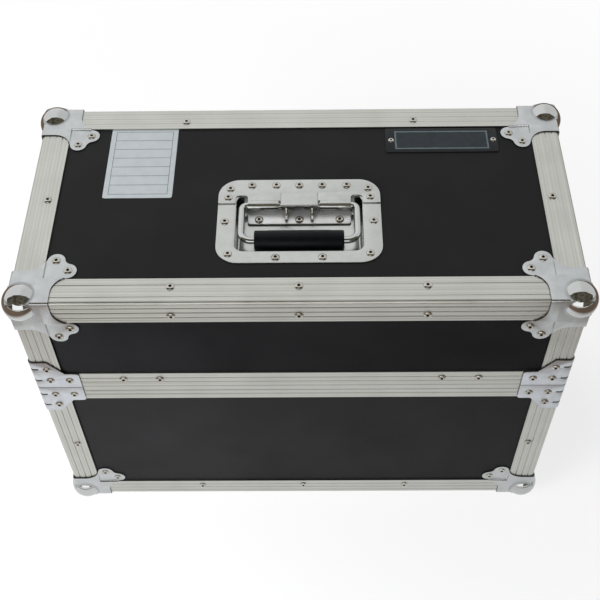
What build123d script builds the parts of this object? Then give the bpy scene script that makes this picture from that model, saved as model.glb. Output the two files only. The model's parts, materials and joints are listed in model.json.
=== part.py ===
from build123d import *
from math import acos, atan2, degrees, hypot, sqrt
import os

# Flight case for eighteen microphones, millimetres.
# Origin: centre of the footprint at the floor. X runs along the case, -Y is the
# front, +Y the hinge side, +Z up. The lid is shut and both latches are released.

os.makedirs("parts", exist_ok=True)

# ---- case body ----
case_width = 460.0          # over the aluminium edges, along X
case_depth = 222.0          # over the aluminium edges, along Y
base_height = 202.0         # underside of the bottom edges to the split
lid_height = 119.0          # split to the top of the lid edges
split_gap = 0.4             # air between the two halves, lid shut
panel_thickness = 7.0       # laminated plywood
slot_play = 0.2             # panel edge to the bottom of its slot

# ---- aluminium edge profile ----
edge_leg = 25.0             # width of each outer leg
inner_leg = 18.0            # width of each inner leg
edge_wall = 1.5
edge_radius = 3.0           # rounding of the outer corner
flute_width = 1.0           # fine lines rolled along the legs
flute_first = 6.5           # outer corner to the first line
flute_pitch = 6.0
mitre_gap = 0.2

# ---- closing profiles at the split ----
band_height = 19.5          # outer leg of each half
band_inner_height = 12.0
band_head = 6.0             # solid head behind the split
tongue_height = 3.0
tongue_root = 3.4
tongue_tip = 2.0
tongue_play = 0.6           # on each side and under the tip

# ---- ball corners ----
ball_radius = 15.4
ball_inset = 8.7            # ball centre inside each outer plane
corner_sheet = 1.2
corner_reach = 33.0         # along each edge
corner_edge_radius = 2.5
ear_far = 44.0              # ear lobe centre, longer offset from the corner
ear_near = 33.5             # ear lobe centre, shorter offset
ear_radius = 8.0
neck_radius = 15.0          # hollow curve between the ears
lap_play = 0.3              # sheet stepping past an edge

# ---- corner braces at the split ----
brace_sheet = 1.2
brace_reach = 39.3          # along the split
brace_height = 37.5         # along the corner
brace_slope = ((14.8, 37.5), (27.6, 20.5))
brace_tip_radius = 3.0

# ---- feet ----
foot_height = 12.0
foot_radius = 17.0
foot_draft = 6.0
foot_inset = 70.0           # foot centre inside the end of the case
foot_inset_y = 47.0

# ---- hinges ----
hinge_x = 137.5             # centre of each hinge
hinge_width = 46.0
hinge_leaf_height = 17.5
hinge_sheet = 1.4
knuckle_radius = 2.75
knuckle_offset = 3.1        # pin axis outside the aluminium
knuckle_gap = 0.4
leaf_notch = 2.6            # leaf edge to the pin axis, beside the other leaf's knuckles
hinge_pin_radius = 1.4
hinge_pin_end = 0.5         # pin standing out at each end
running_play = 0.05         # radial, pins and shafts
stop_reach = 3.6            # tab that ends the lid's swing
stop_sheet = 1.0
stop_width = 9.0
stop_play = 0.3
lid_swing = 100.0

# ---- recessed latches, one at each end ----
latch_width = 62.0          # inside of the dish
latch_base_reach = 62.0     # dish below the split
latch_lid_reach = 34.0      # dish above the split
latch_depth = 16.0          # panel face to the dish floor
latch_flange = 14.0
latch_flange_radius = 16.0
latch_sheet = 1.2
latch_radius = 9.0
latch_draft = 5.0
cutout_play = 1.0
part_gap = 0.3              # between pieces that turn past each other
spindle_drop = 33.0         # spindle axis below the split
spindle_radius = 4.0
bridge_width = 30.0
bridge_height = 22.0
bridge_sheet = 1.5
bridge_foot = 6.0
bridge_top = 7.9            # panel face down to the bridge
cheek_top = 10.5            # panel face down to the low end of the cheeks
cheek_reach = 4.0           # cheeks past the hook pin
spindle_head_radius = 9.2
spindle_head_sheet = 1.2
retainer_radius = 7.0
ear_sheet = 2.0
wing_lobe_radius = 8.5
wing_lobe_offset = 11.0
wing_barrel_radius = 2.2
wing_barrel_length = 13.4
wing_sheet = 2.2
trunnion_radius = 1.2
hook_pin_drop = 50.0        # hook pin below the split
hook_pin_radius = 1.2
hook_barrel_radius = 2.1
hook_width = 24.0
hook_sheet = 2.0
hook_step = 2.6             # joggle towards the outside
hook_step_y = (-12.0, -5.0)
hook_tip = 12.0             # above the split
hook_swing = 5.0            # degrees, from latched to released
window_half_width = 8.0     # window in the hook round the spindle
window_half_height = 9.0
lip_drop = 2.4
lip_sheet = 2.0
strike_height = 4.1
strike_foot = 14.0

# ---- recessed handle ----
handle_y = -24.7            # centre of the dish flange
handle_width = 137.0
handle_length = 91.0
handle_radius = 18.0
pan_y = -26.8               # centre of the recess
pan_width = 105.5
pan_length = 60.5
pan_radius = 7.0
pan_depth = 13.0
pan_draft = 6.0
handle_sheet = 1.2
bail_axis_y = -5.7
bail_axis_depth = 2.7       # below the flange
bail_rod_radius = 3.0
bail_half_width = 48.5
bail_length = 38.7
bail_bend = 9.0
bail_pivot_bend = 4.5
bail_end_gap = 4.0          # half of the gap between the two rod ends
bail_facets = 16            # round the bends; the pivots are true cylinders
barrel_radius = 4.6
barrel_inner = 18.5
barrel_outer = 43.5
strap_front_y = -6.0
notch_rear_y = 4.5
cover_half_width = 17.5
cover_y = (-8.0, 8.0)
cover_gap = 0.5             # springs to the underside of the cover
grip_radius = 8.5
grip_length = 74.0
grip_edge = 1.2
spring_radius = 4.6
spring_inner = 4.4
spring_outer = 17.2
spring_leg_radius = 0.9
spring_leg_x = 11.2
spring_leg_reach = 11.0
clamp_half_width = 43.5
clamp_front_y = -19.5
clamp_rear_y = -2.5

# ---- badge plate, blank ----
badge_inset = 104.5         # badge centre inside the end of the case
badge_inset_y = 41.5
badge_width = 99.0
badge_length = 30.0
badge_sheet = 1.0
badge_radius = 2.0

# ---- foam ----
foam_play = 0.5             # foam to walls and between layers
foam_top_drop = 14.0        # foam insert below the split
foam_insert_height = 100.0
lid_foam_thickness = 20.0
mic_bore_radius = 20.0
mic_columns = 6
mic_rows = 3
mic_margin = 44.5           # outer bore centres to the ends of the foam
mic_margin_y = 36.5

# ---- derived places ----
frame_wall = edge_wall + panel_thickness + edge_wall
half_width = case_width / 2
half_depth = case_depth / 2
bottom_z = foot_height
split_z = bottom_z + base_height
top_z = split_z + lid_height
panel_inset = frame_wall + slot_play
lid_panel_z = top_z - edge_wall
head_slot = band_head + slot_play
flute_places = (flute_first, flute_first + flute_pitch, flute_first + 2 * flute_pitch)
foot_x = half_width - foot_inset
foot_y = half_depth - foot_inset_y
badge_x = half_width - badge_inset
badge_y = half_depth - badge_inset_y
grounded = (Align.MIN, Align.MIN)


def finish(piece, name):
    piece.part.label = name
    export_step(piece.part, f"parts/{name}.step")


def lap_plane(origin, across, up, normal):
    # A plane on a case face whose two in-plane directions are the two inward ones.
    flipped = Vector(*normal).cross(Vector(*across)).dot(Vector(*up)) < 0
    return Plane(origin=origin, x_dir=up if flipped else across, z_dir=normal)


# ---- plywood panels ----
def panel(name, centre, size, cutout=None):
    with BuildPart() as sheet:
        with Locations(centre):
            Box(*size)
        if cutout:
            cut_centre, cut_size = cutout
            with Locations(cut_centre):
                Box(*cut_size, mode=Mode.SUBTRACT)
    finish(sheet, name)


panel_mid = edge_wall + panel_thickness / 2
front_mid = half_depth - panel_mid
end_mid = half_width - panel_mid
inner_width = case_width - 2 * panel_inset
inner_depth = case_depth - 2 * panel_inset
latch_hole = latch_width + 2 * (latch_sheet + cutout_play)

for half, low, high, reach, flat_z in (
    ("base", bottom_z + panel_inset, split_z - head_slot - split_gap / 2,
     -latch_base_reach - latch_sheet - cutout_play, bottom_z + panel_mid),
    ("lid", split_z + head_slot + split_gap / 2, top_z - panel_inset,
     latch_lid_reach + latch_sheet + cutout_play, top_z - panel_mid),
):
    mid_z = (low + high) / 2
    tall = high - low
    panel(f"{half}_front_panel", (0, -front_mid, mid_z), (inner_width, panel_thickness, tall))
    panel(f"{half}_rear_panel", (0, front_mid, mid_z), (inner_width, panel_thickness, tall))
    for side, word in ((-1, "left"), (1, "right")):
        panel(f"{half}_{word}_panel", (side * end_mid, 0, mid_z), (panel_thickness, inner_depth, tall),
              ((side * end_mid, 0, split_z), (2 * panel_thickness, latch_hole, 2 * abs(reach))))
    flat = (inner_width, inner_depth, panel_thickness)
    if half == "base":
        panel("base_bottom_panel", (0, 0, flat_z), flat)
    else:
        pan_hole = (pan_width + 2 * (handle_sheet + cutout_play), pan_length + 2 * (handle_sheet + cutout_play))
        panel("lid_top_panel", (0, 0, flat_z), flat, ((0, pan_y, flat_z), (*pan_hole, 2 * panel_thickness)))


# ---- aluminium edges: an outer angle and an inner angle with a slot for each panel ----
with BuildSketch() as edge_section:
    Rectangle(edge_leg, edge_wall, align=grounded)
    Rectangle(edge_wall, edge_leg, align=grounded)
    with Locations((0, frame_wall - edge_wall)):
        Rectangle(inner_leg, edge_wall, align=grounded)
    with Locations((frame_wall - edge_wall, 0)):
        Rectangle(edge_wall, inner_leg, align=grounded)
    fillet(edge_section.vertices().sort_by_distance((0, 0, 0))[0], edge_radius)
    with Locations(*[(place, 0) for place in flute_places], *[(0, place) for place in flute_places]):
        Rectangle(flute_width / sqrt(2), flute_width / sqrt(2), rotation=45, mode=Mode.SUBTRACT)


def edge_bar(start, along, leg_a, leg_b, length, mitres=(True, True)):
    # One length of the edge profile, its ends cut so that three of them meet at a corner.
    end = tuple(s + length * a for s, a in zip(start, along))
    with BuildPart() as bar:
        with BuildSketch(lap_plane(start, leg_a, leg_b, along)):
            add(edge_section.sketch)
        extrude(amount=length)
        for cut, corner, inward in zip(mitres, (start, end), (1, -1)):
            if not cut:
                continue
            for leg in (leg_a, leg_b):
                normal = (Vector(*along) * inward - Vector(*leg)).normalized()
                shifted = Vector(*corner) + normal * (mitre_gap / 2)
                split(bisect_by=Plane(origin=shifted, z_dir=normal), keep=Keep.TOP)
    return bar


for half, level, up in (("base", bottom_z, 1), ("lid", top_z, -1)):
    for word, y, into in (("front", -half_depth, 1), ("rear", half_depth, -1)):
        finish(edge_bar((-half_width, y, level), (1, 0, 0), (0, into, 0), (0, 0, up), case_width),
               f"{half}_{word}_edge")
    for word, x, into in (("left", -half_width, 1), ("right", half_width, -1)):
        finish(edge_bar((x, -half_depth, level), (0, 1, 0), (into, 0, 0), (0, 0, up), case_depth),
               f"{half}_{word}_edge")
    post_length = (base_height if half == "base" else lid_height) - band_height - split_gap / 2 - mitre_gap
    with BuildPart() as posts:
        add(edge_bar((-half_width, -half_depth, level), (0, 0, up), (1, 0, 0), (0, 1, 0),
                     post_length, (True, False)).part)
        mirror(about=Plane.YZ)
        mirror(about=Plane.XZ)
    finish(posts, f"{half}_corner_posts")


# ---- closing profiles: a groove round the base, a tongue round the lid ----
def closing_section(with_tongue):
    middle = frame_wall / 2
    with BuildSketch() as section:
        Rectangle(edge_wall, band_height, align=grounded)
        Rectangle(frame_wall, band_head, align=grounded)
        with Locations((frame_wall - edge_wall, 0)):
            Rectangle(edge_wall, band_inner_height, align=grounded)
        flutes = [(0, place) for place in flute_places[:2]]
        with Locations(*flutes):
            Rectangle(flute_width / sqrt(2), flute_width / sqrt(2), rotation=45, mode=Mode.SUBTRACT)
        if with_tongue:
            root, tip, reach = tongue_root / 2, tongue_tip / 2, -tongue_height
            Polygon((middle - root, 0), (middle + root, 0), (middle + tip, reach), (middle - tip, reach),
                    align=None)
        else:
            root, tip = tongue_root / 2 + tongue_play, tongue_tip / 2 + tongue_play
            reach = tongue_height + tongue_play
            Polygon((middle - root, 0), (middle + root, 0), (middle + tip, reach), (middle - tip, reach),
                    align=None, mode=Mode.SUBTRACT)
    return section.sketch


def closing_bar(centre, inward, away, length, section, notch=None):
    along = Vector(*inward).cross(Vector(*away))
    start = Vector(*centre) - along * (length / 2)
    with BuildPart() as bar:
        with BuildSketch(Plane(origin=start, x_dir=inward, z_dir=along)):
            add(section)
        extrude(amount=length)
        for corner, sense in ((start, 1), (start + along * length, -1)):
            normal = (along * sense - Vector(*inward)).normalized()
            split(bisect_by=Plane(origin=corner + normal * (mitre_gap / 2), z_dir=normal), keep=Keep.TOP)
        if notch:
            with Locations(centre):
                Box(4 * frame_wall, notch, 4 * band_height, mode=Mode.SUBTRACT)
        with BuildSketch(Plane.XY.offset(split_z)):
            RectangleRounded(case_width, case_depth, edge_radius)
        extrude(amount=2 * band_height, both=True, mode=Mode.INTERSECT)
    return bar


for half, away, plug in (("base", -1, False), ("lid", 1, True)):
    section = closing_section(plug)
    level = split_z + away * split_gap / 2
    for word, y, into in (("front", -half_depth, 1), ("rear", half_depth, -1)):
        finish(closing_bar((0, y, level), (0, into, 0), (0, 0, away), case_width, section),
               f"{half}_{word}_closing")
    with BuildPart() as end_bars:
        add(closing_bar((-half_width, 0, level), (1, 0, 0), (0, 0, away), case_depth, section, latch_hole).part)
        mirror(about=Plane.YZ)
    finish(end_bars, f"{half}_end_closings")


# ---- ball corners: a pressed ball, three flanges over the edges, an ear down on each panel ----
neck_drop = ear_near - sqrt((neck_radius + ear_radius) ** 2 - (corner_reach + neck_radius - ear_far) ** 2)
neck_centre = (corner_reach + neck_radius, neck_drop)
neck_touch = tuple(n + (e - n) * neck_radius / (neck_radius + ear_radius)
                   for n, e in zip(neck_centre, (ear_far, ear_near)))
with BuildSketch() as corner_outline:
    Polygon(
        (-corner_sheet, -corner_sheet), (corner_reach, -corner_sheet), (corner_reach, neck_drop),
        neck_centre, neck_touch, (ear_far, ear_near), (ear_near, ear_far), neck_touch[::-1],
        neck_centre[::-1], (neck_drop, corner_reach), (-corner_sheet, corner_reach), align=None,
    )
    with Locations((ear_far, ear_near), (ear_near, ear_far)):
        Circle(ear_radius)
    with Locations(neck_centre, neck_centre[::-1]):
        Circle(neck_radius, mode=Mode.SUBTRACT)

ear_start = edge_leg + lap_play


def ball_corner_set(level, up):
    corner = (-half_width, -half_depth, level)
    inward = ((1, 0, 0), (0, 1, 0), (0, 0, up))
    far = 2 * corner_reach
    with BuildPart() as corners:
        for normal_axis in range(3):
            across, rise = (inward[i] for i in range(3) if i != normal_axis)
            outward = tuple(-c for c in inward[normal_axis])
            face = lap_plane(corner, across, rise, outward)
            with BuildSketch(face):
                add(corner_outline.sketch)
                with Locations((ear_start + corner_sheet, ear_start + corner_sheet)):
                    Rectangle(far, far, align=grounded, mode=Mode.SUBTRACT)
            extrude(amount=corner_sheet)
            with BuildSketch(face):
                with Locations((ear_start, ear_start)):
                    Rectangle(far, far, align=grounded)
                add(corner_outline.sketch, mode=Mode.INTERSECT)
            extrude(amount=-edge_wall)
        outer = Vector(*corner) - Vector(corner_sheet, corner_sheet, up * corner_sheet)
        outer_edges = [e for e in corners.edges() if min((e.position_at(t) - outer).length for t in (0, 1)) < 0.01]
        fillet(outer_edges, corner_edge_radius)
        with BuildPart(mode=Mode.PRIVATE) as ball:
            centre = Vector(*corner) + Vector(ball_inset, ball_inset, up * ball_inset)
            with Locations(centre):
                Sphere(ball_radius)
            hollow = 2 * ball_radius
            with Locations(Vector(*corner) + Vector(hollow / 2, hollow / 2, up * hollow / 2)):
                Box(hollow, hollow, hollow, mode=Mode.SUBTRACT)
        add(ball.part)
        mirror(about=Plane.YZ)
        mirror(about=Plane.XZ)
    return corners


finish(ball_corner_set(bottom_z, 1), "base_ball_corners")
finish(ball_corner_set(top_z, -1), "lid_ball_corners")


def block(at, across, up, out, mode=Mode.ADD):
    # A box between two limits along each direction of a local plane.
    spans = (across, up, out)
    middle = tuple((low + high) / 2 for low, high in spans)
    with Locations(at.location * Location(middle)):
        Box(*(high - low for low, high in spans), mode=mode)


def rod(at, across, up, out, radius, mode=Mode.ADD):
    # A round bar along the first direction of a local plane.
    middle = ((across[0] + across[1]) / 2, up, out)
    with Locations(at.location * Location(middle)):
        Cylinder(radius, across[1] - across[0], rotation=(0, 90, 0), mode=mode)


# ---- corner braces: angles wrapped round each upright, meeting at the split ----
with BuildPart() as lid_braces:
    slope_top, slope_foot = brace_slope
    corner = (-half_width, -half_depth, split_z + split_gap / 2)
    with BuildSketch(Plane(origin=corner, x_dir=(1, 0, 0), z_dir=(0, -1, 0))) as brace_outline:
        Polygon((-brace_sheet, 0), (brace_reach, 0), (brace_reach, slope_foot[1]), slope_foot, slope_top,
                (-brace_sheet, brace_height), align=None)
        fillet(brace_outline.vertices().sort_by_distance((brace_reach, slope_foot[1], 0))[0], brace_tip_radius)
    extrude(amount=brace_sheet)
    mirror(about=Plane(origin=corner, z_dir=(1, -1, 0)))
    beyond = (-half_width - edge_leg, -half_depth - edge_leg, split_z)
    fillet(lid_braces.edges().filter_by(Axis.Z).sort_by_distance(beyond)[1], edge_radius)
    fillet(lid_braces.edges().filter_by(Axis.Z).sort_by_distance(beyond)[0], edge_radius + brace_sheet)
    mirror(about=Plane.YZ)
    mirror(about=Plane.XZ)
finish(lid_braces, "lid_braces")

with BuildPart() as base_braces:
    mirror(lid_braces.part, about=Plane.XY.offset(split_z))
finish(base_braces, "base_braces")


# ---- rubber feet ----
with BuildPart() as feet:
    with BuildSketch(Plane.XY.offset(bottom_z + edge_wall)):
        with GridLocations(2 * foot_x, 2 * foot_y, 2, 2):
            Circle(foot_radius)
    extrude(amount=-(foot_height + edge_wall), taper=foot_draft)
finish(feet, "rubber_feet")


# ---- hinges on the rear wall, three knuckles each ----
rear = Plane(origin=(0, half_depth, split_z), x_dir=(-1, 0, 0), z_dir=(0, 1, 0))
knuckle = (hinge_width - 2 * knuckle_gap) / 3
middle_knuckle = (hinge_x - knuckle / 2, hinge_x + knuckle / 2)
hinge_span = (hinge_x - hinge_width / 2, hinge_x + hinge_width / 2)
outer_knuckles = ((hinge_span[0], hinge_span[0] + knuckle), (hinge_span[1] - knuckle, hinge_span[1]))
bore = hinge_pin_radius + running_play


def hinge_leaf(away, own, other):
    # A leaf with its knuckles; the edge is cut back beside the other leaf's knuckles.
    with BuildPart() as leaf:
        block(rear, hinge_span, sorted((away * knuckle_gap, away * hinge_leaf_height)), (0, hinge_sheet))
        for low, high in other:
            block(rear, (low - knuckle_gap, high + knuckle_gap), (-leaf_notch, leaf_notch),
                  (-hinge_sheet, 2 * hinge_sheet), mode=Mode.SUBTRACT)
        for span in own:
            rod(rear, span, 0, knuckle_offset, knuckle_radius)
        rod(rear, hinge_span, 0, knuckle_offset, bore, mode=Mode.SUBTRACT)
        if away > 0:
            reach = hypot(stop_reach, stop_sheet / 2)
            leaf_face = knuckle_offset - hinge_sheet - stop_play
            droop = degrees(acos(-leaf_face / reach) - atan2(stop_sheet / 2, stop_reach)) - lid_swing
            with Locations(rear.location * Location((hinge_x, 0, knuckle_offset), (droop - 90, 0, 0))):
                radial = stop_reach - bore
                with Locations((0, -bore - radial / 2, 0)):
                    Box(stop_width, radial, stop_sheet)
        mirror(about=Plane.YZ)
    return leaf


finish(hinge_leaf(-1, outer_knuckles, (middle_knuckle,)), "hinge_base_leaves")
finish(hinge_leaf(1, (middle_knuckle,), outer_knuckles), "hinge_lid_leaves")

with BuildPart() as pins:
    rod(rear, (hinge_span[0] - hinge_pin_end, hinge_span[1] + hinge_pin_end), 0, knuckle_offset, hinge_pin_radius)
    mirror(about=Plane.YZ)
finish(pins, "hinge_pins")


# ---- recessed latches: one pressing, parted at the split ----
latch_height = latch_base_reach + latch_lid_reach
latch_mid = (latch_lid_reach - latch_base_reach) / 2
lap_reach = band_height + lap_play
flange_width = latch_width + 2 * latch_flange
over_band = edge_wall + latch_sheet


def latch_pressing(at):
    with BuildPart() as dish:
        with BuildSketch(at):
            with Locations((0, latch_mid)):
                RectangleRounded(flange_width, latch_height + 2 * latch_flange, latch_flange_radius)
            Rectangle(flange_width, 2 * lap_reach, mode=Mode.SUBTRACT)
        extrude(amount=latch_sheet)
        with BuildSketch(at.offset(edge_wall)):
            Rectangle(flange_width, 2 * (lap_reach + latch_sheet))
        extrude(amount=latch_sheet)
        with BuildSketch(at):
            Rectangle(flange_width, 2 * (lap_reach + latch_sheet))
            Rectangle(flange_width, 2 * lap_reach, mode=Mode.SUBTRACT)
            Rectangle(latch_width + 2 * latch_sheet, 2 * lap_reach)
        extrude(amount=over_band)
        with BuildSketch(at):
            with Locations((0, latch_mid)):
                RectangleRounded(latch_width + 2 * latch_sheet, latch_height + 2 * latch_sheet,
                                 latch_radius + latch_sheet)
        extrude(amount=-(latch_depth + latch_sheet), taper=latch_draft)
        with BuildSketch(at) as mouth:
            with Locations((0, latch_mid)):
                RectangleRounded(latch_width, latch_height, latch_radius)
        extrude(amount=-latch_depth, taper=latch_draft, mode=Mode.SUBTRACT)
        extrude(mouth.sketch, amount=over_band, mode=Mode.SUBTRACT)
    return dish


bridge_floor = bridge_top + bridge_sheet
bridge_span_y = (-spindle_drop - bridge_height / 2, -spindle_drop + bridge_height / 2)
cheek_low = -hook_pin_drop - cheek_reach
head_top = bridge_top - part_gap - spindle_head_sheet
wing_axis = head_top - part_gap - wing_barrel_radius
ear_inner = wing_barrel_length / 2 + part_gap
ear_outer = ear_inner + ear_sheet
retainer_top = bridge_floor + part_gap
hook_axis = latch_depth - part_gap - hook_barrel_radius
hook_pin = Location((-hook_pin_drop, -hook_axis), (0, 0, hook_swing))
raised = hook_step - hook_sheet / 2
tip = hook_tip + hook_pin_drop
step_low, step_high = (y + hook_pin_drop for y in hook_step_y)
strike_top = hook_tip - lip_sheet - 2 * part_gap
strike_out = -hook_axis + raised - part_gap

for side, word in ((-1, "left"), (1, "right")):
    at = Plane(origin=(side * (half_width - edge_wall), 0, split_z), x_dir=(0, side, 0), z_dir=(side, 0, 0))
    edgewise = Plane(origin=at.origin, x_dir=at.y_dir, z_dir=at.x_dir)
    spindle = at.location * Location((0, -spindle_drop, 0))
    pressing = latch_pressing(at)
    with BuildPart() as latch_dish:
        add(pressing.part)
        split(bisect_by=Plane.XY.offset(split_z - split_gap / 2), keep=Keep.BOTTOM)
    finish(latch_dish, f"latch_dish_{word}")
    with BuildPart() as keeper_dish:
        add(pressing.part)
        split(bisect_by=Plane.XY.offset(split_z + split_gap / 2), keep=Keep.TOP)
    finish(keeper_dish, f"keeper_dish_{word}")

    with BuildPart() as latch_spindle:
        with Locations(spindle * Location((0, 0, -retainer_top - spindle_head_sheet))):
            Cylinder(retainer_radius, spindle_head_sheet, align=(Align.CENTER, Align.CENTER, Align.MIN))
            Cylinder(spindle_radius, retainer_top + spindle_head_sheet - head_top,
                     align=(Align.CENTER, Align.CENTER, Align.MIN))
        with Locations(spindle * Location((0, 0, -head_top))):
            Cylinder(spindle_head_radius, spindle_head_sheet, align=(Align.CENTER, Align.CENTER, Align.MAX))
        for x in (ear_inner, -ear_outer):
            span = (x, x + ear_sheet)
            block(at, span, (-spindle_drop - wing_barrel_radius, -spindle_drop + wing_barrel_radius),
                  (-head_top, -wing_axis))
            rod(at, span, -spindle_drop, -wing_axis, wing_barrel_radius)
        rod(at, (-ear_outer, ear_outer), -spindle_drop, -wing_axis, trunnion_radius + running_play,
            mode=Mode.SUBTRACT)
    finish(latch_spindle, f"latch_spindle_{word}")

    with BuildPart() as latch_wing:
        with BuildSketch(at.offset(-wing_axis - wing_sheet / 2)):
            with Locations((0, -spindle_drop)):
                half = wing_barrel_length / 2
                Polygon((-half, 0), (half, 0), (wing_lobe_offset, -wing_lobe_offset),
                        (-wing_lobe_offset, -wing_lobe_offset), align=None)
                with Locations((-wing_lobe_offset, -wing_lobe_offset), (wing_lobe_offset, -wing_lobe_offset)):
                    Circle(wing_lobe_radius)
            with Locations((0, -spindle_drop)):
                Rectangle(4 * ear_outer, 2 * (wing_barrel_radius + part_gap), mode=Mode.SUBTRACT)
                Rectangle(wing_barrel_length, 2 * (wing_barrel_radius + part_gap), align=(Align.CENTER, Align.MAX))
        extrude(amount=wing_sheet)
        rod(at, (-half, half), -spindle_drop, -wing_axis, wing_barrel_radius)
        rod(at, (-ear_outer, ear_outer), -spindle_drop, -wing_axis, trunnion_radius)
    finish(latch_wing, f"latch_wing_{word}")

    with BuildPart() as latch_hook:
        with BuildSketch(edgewise):
            with Locations(hook_pin):
                Polygon(
                    (0, -hook_sheet / 2), (step_low, -hook_sheet / 2), (step_high, raised),
                    (tip - lip_sheet, raised), (tip - lip_sheet, raised - lip_drop), (tip, raised - lip_drop),
                    (tip, raised + hook_sheet), (step_high, raised + hook_sheet), (step_low, hook_sheet / 2),
                    (0, hook_sheet / 2), align=None,
                )
                Circle(hook_barrel_radius)
                Circle(hook_pin_radius + running_play, mode=Mode.SUBTRACT)
        extrude(amount=hook_width / 2, both=True)
        block(at, (-window_half_width, window_half_width),
              (-spindle_drop - window_half_height, -spindle_drop + window_half_height),
              (-latch_depth, 0), mode=Mode.SUBTRACT)
    finish(latch_hook, f"latch_hook_{word}")

right_end = Plane(origin=(half_width - edge_wall, 0, split_z), x_dir=(0, 1, 0), z_dir=(1, 0, 0))
bridge_half = bridge_width / 2

with BuildPart() as bridges:
    block(right_end, (-bridge_half, bridge_half), bridge_span_y, (-bridge_floor, -bridge_top))
    for inner, outer in ((bridge_half - bridge_sheet, bridge_half), (-bridge_half, bridge_sheet - bridge_half)):
        block(right_end, (inner, outer), (cheek_low, bridge_span_y[1]), (-latch_depth, -cheek_top))
        block(right_end, (inner, outer), bridge_span_y, (-latch_depth, -bridge_top))
    for inner, outer in ((bridge_half, bridge_half + bridge_foot), (-bridge_half - bridge_foot, -bridge_half)):
        block(right_end, (inner, outer), (cheek_low, bridge_span_y[1]), (-latch_depth, bridge_sheet - latch_depth))
    with Locations(right_end.location * Location((0, -spindle_drop, -bridge_top))):
        Cylinder(spindle_radius + running_play, 4 * bridge_sheet, mode=Mode.SUBTRACT)
    rod(right_end, (-bridge_half, bridge_half), -hook_pin_drop, -hook_axis, hook_pin_radius + running_play,
        mode=Mode.SUBTRACT)
    mirror(about=Plane.YZ)
finish(bridges, "latch_bridges")

with BuildPart() as hook_pins:
    rod(right_end, (-bridge_half, bridge_half), -hook_pin_drop, -hook_axis, hook_pin_radius)
    mirror(about=Plane.YZ)
finish(hook_pins, "latch_hook_pins")

with BuildPart() as strikes:
    strike_low = strike_top - strike_height
    block(right_end, (-hook_width / 2, hook_width / 2), (strike_low, strike_top), (-latch_depth, strike_out))
    block(right_end, (-hook_width / 2, hook_width / 2), (strike_low, strike_top + strike_foot),
          (-latch_depth, latch_sheet - latch_depth))
    mirror(about=Plane.YZ)
finish(strikes, "latch_strikes")


# ---- recessed handle in the lid: dish, hinge plate, clamp plate, springs, bail and grip ----
rim = Plane.XY.offset(lid_panel_z + handle_sheet)
floor_depth = pan_depth
with BuildPart() as handle_dish:
    with BuildSketch(rim):
        with Locations((0, handle_y)):
            RectangleRounded(handle_width, handle_length, handle_radius)
    extrude(amount=-handle_sheet)
    with BuildSketch(rim):
        with Locations((0, pan_y)):
            RectangleRounded(pan_width + 2 * handle_sheet, pan_length + 2 * handle_sheet, pan_radius + handle_sheet)
    extrude(amount=-(pan_depth + handle_sheet), taper=pan_draft)
    with BuildSketch(rim):
        with Locations((0, pan_y)):
            RectangleRounded(pan_width, pan_length, pan_radius)
    extrude(amount=-pan_depth, taper=pan_draft, mode=Mode.SUBTRACT)
finish(handle_dish, "handle_dish")

axis = rim.location * Location((0, bail_axis_y, -bail_axis_depth))
notch_width = 2 * (bail_half_width - barrel_outer)
cover_floor = spring_radius + cover_gap - bail_axis_depth
with BuildPart() as hinge_plate:
    with BuildSketch(rim):
        with Locations((0, handle_y)):
            RectangleRounded(handle_width, handle_length, handle_radius)
        with Locations((0, strap_front_y)):
            Rectangle(handle_width, handle_length, align=(Align.CENTER, Align.MIN), mode=Mode.INTERSECT)
        for x in (-bail_half_width, bail_half_width):
            with Locations((x, notch_rear_y)):
                Rectangle(notch_width, 2 * pan_length, align=(Align.CENTER, Align.MAX), mode=Mode.SUBTRACT)
        with Locations((0, cover_y[1] - handle_sheet)):
            Rectangle(2 * barrel_inner, 2 * pan_length, align=(Align.CENTER, Align.MAX), mode=Mode.SUBTRACT)
    extrude(amount=handle_sheet)
    block(rim, (-cover_half_width, cover_half_width), cover_y, (cover_floor, cover_floor + handle_sheet))
    block(rim, (-cover_half_width, cover_half_width), (cover_y[1] - handle_sheet, cover_y[1]),
          (0, cover_floor + handle_sheet))
    for low, high in ((barrel_inner, barrel_outer), (-barrel_outer, -barrel_inner)):
        rod(rim, (low, high), bail_axis_y, -bail_axis_depth, barrel_radius)
        rod(rim, (low, high), bail_axis_y, -bail_axis_depth, bail_rod_radius + running_play, mode=Mode.SUBTRACT)
finish(hinge_plate, "handle_hinge_plate")

with BuildPart() as clamp_plate:
    block(rim, (-clamp_half_width, clamp_half_width), (clamp_front_y, clamp_rear_y),
          (-pan_depth, handle_sheet - pan_depth))
finish(clamp_plate, "handle_clamp_plate")

coil_mid = (spring_radius + bail_rod_radius) / 2
leg_top = -bail_axis_depth - coil_mid
leg_drop = pan_depth - handle_sheet - spring_leg_radius + leg_top
with BuildPart() as springs:
    rod(rim, (spring_inner, spring_outer), bail_axis_y, -bail_axis_depth, spring_radius)
    slant = degrees(atan2(leg_drop, spring_leg_reach))
    with Locations(rim.location * Location((spring_leg_x, bail_axis_y, leg_top), (90 + slant, 0, 0))):
        Cylinder(spring_leg_radius, hypot(leg_drop, spring_leg_reach),
                 align=(Align.CENTER, Align.CENTER, Align.MIN))
    rod(rim, (spring_inner, spring_outer), bail_axis_y, -bail_axis_depth, bail_rod_radius + running_play,
        mode=Mode.SUBTRACT)
    mirror(about=Plane.YZ)
finish(springs, "handle_springs")

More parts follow.
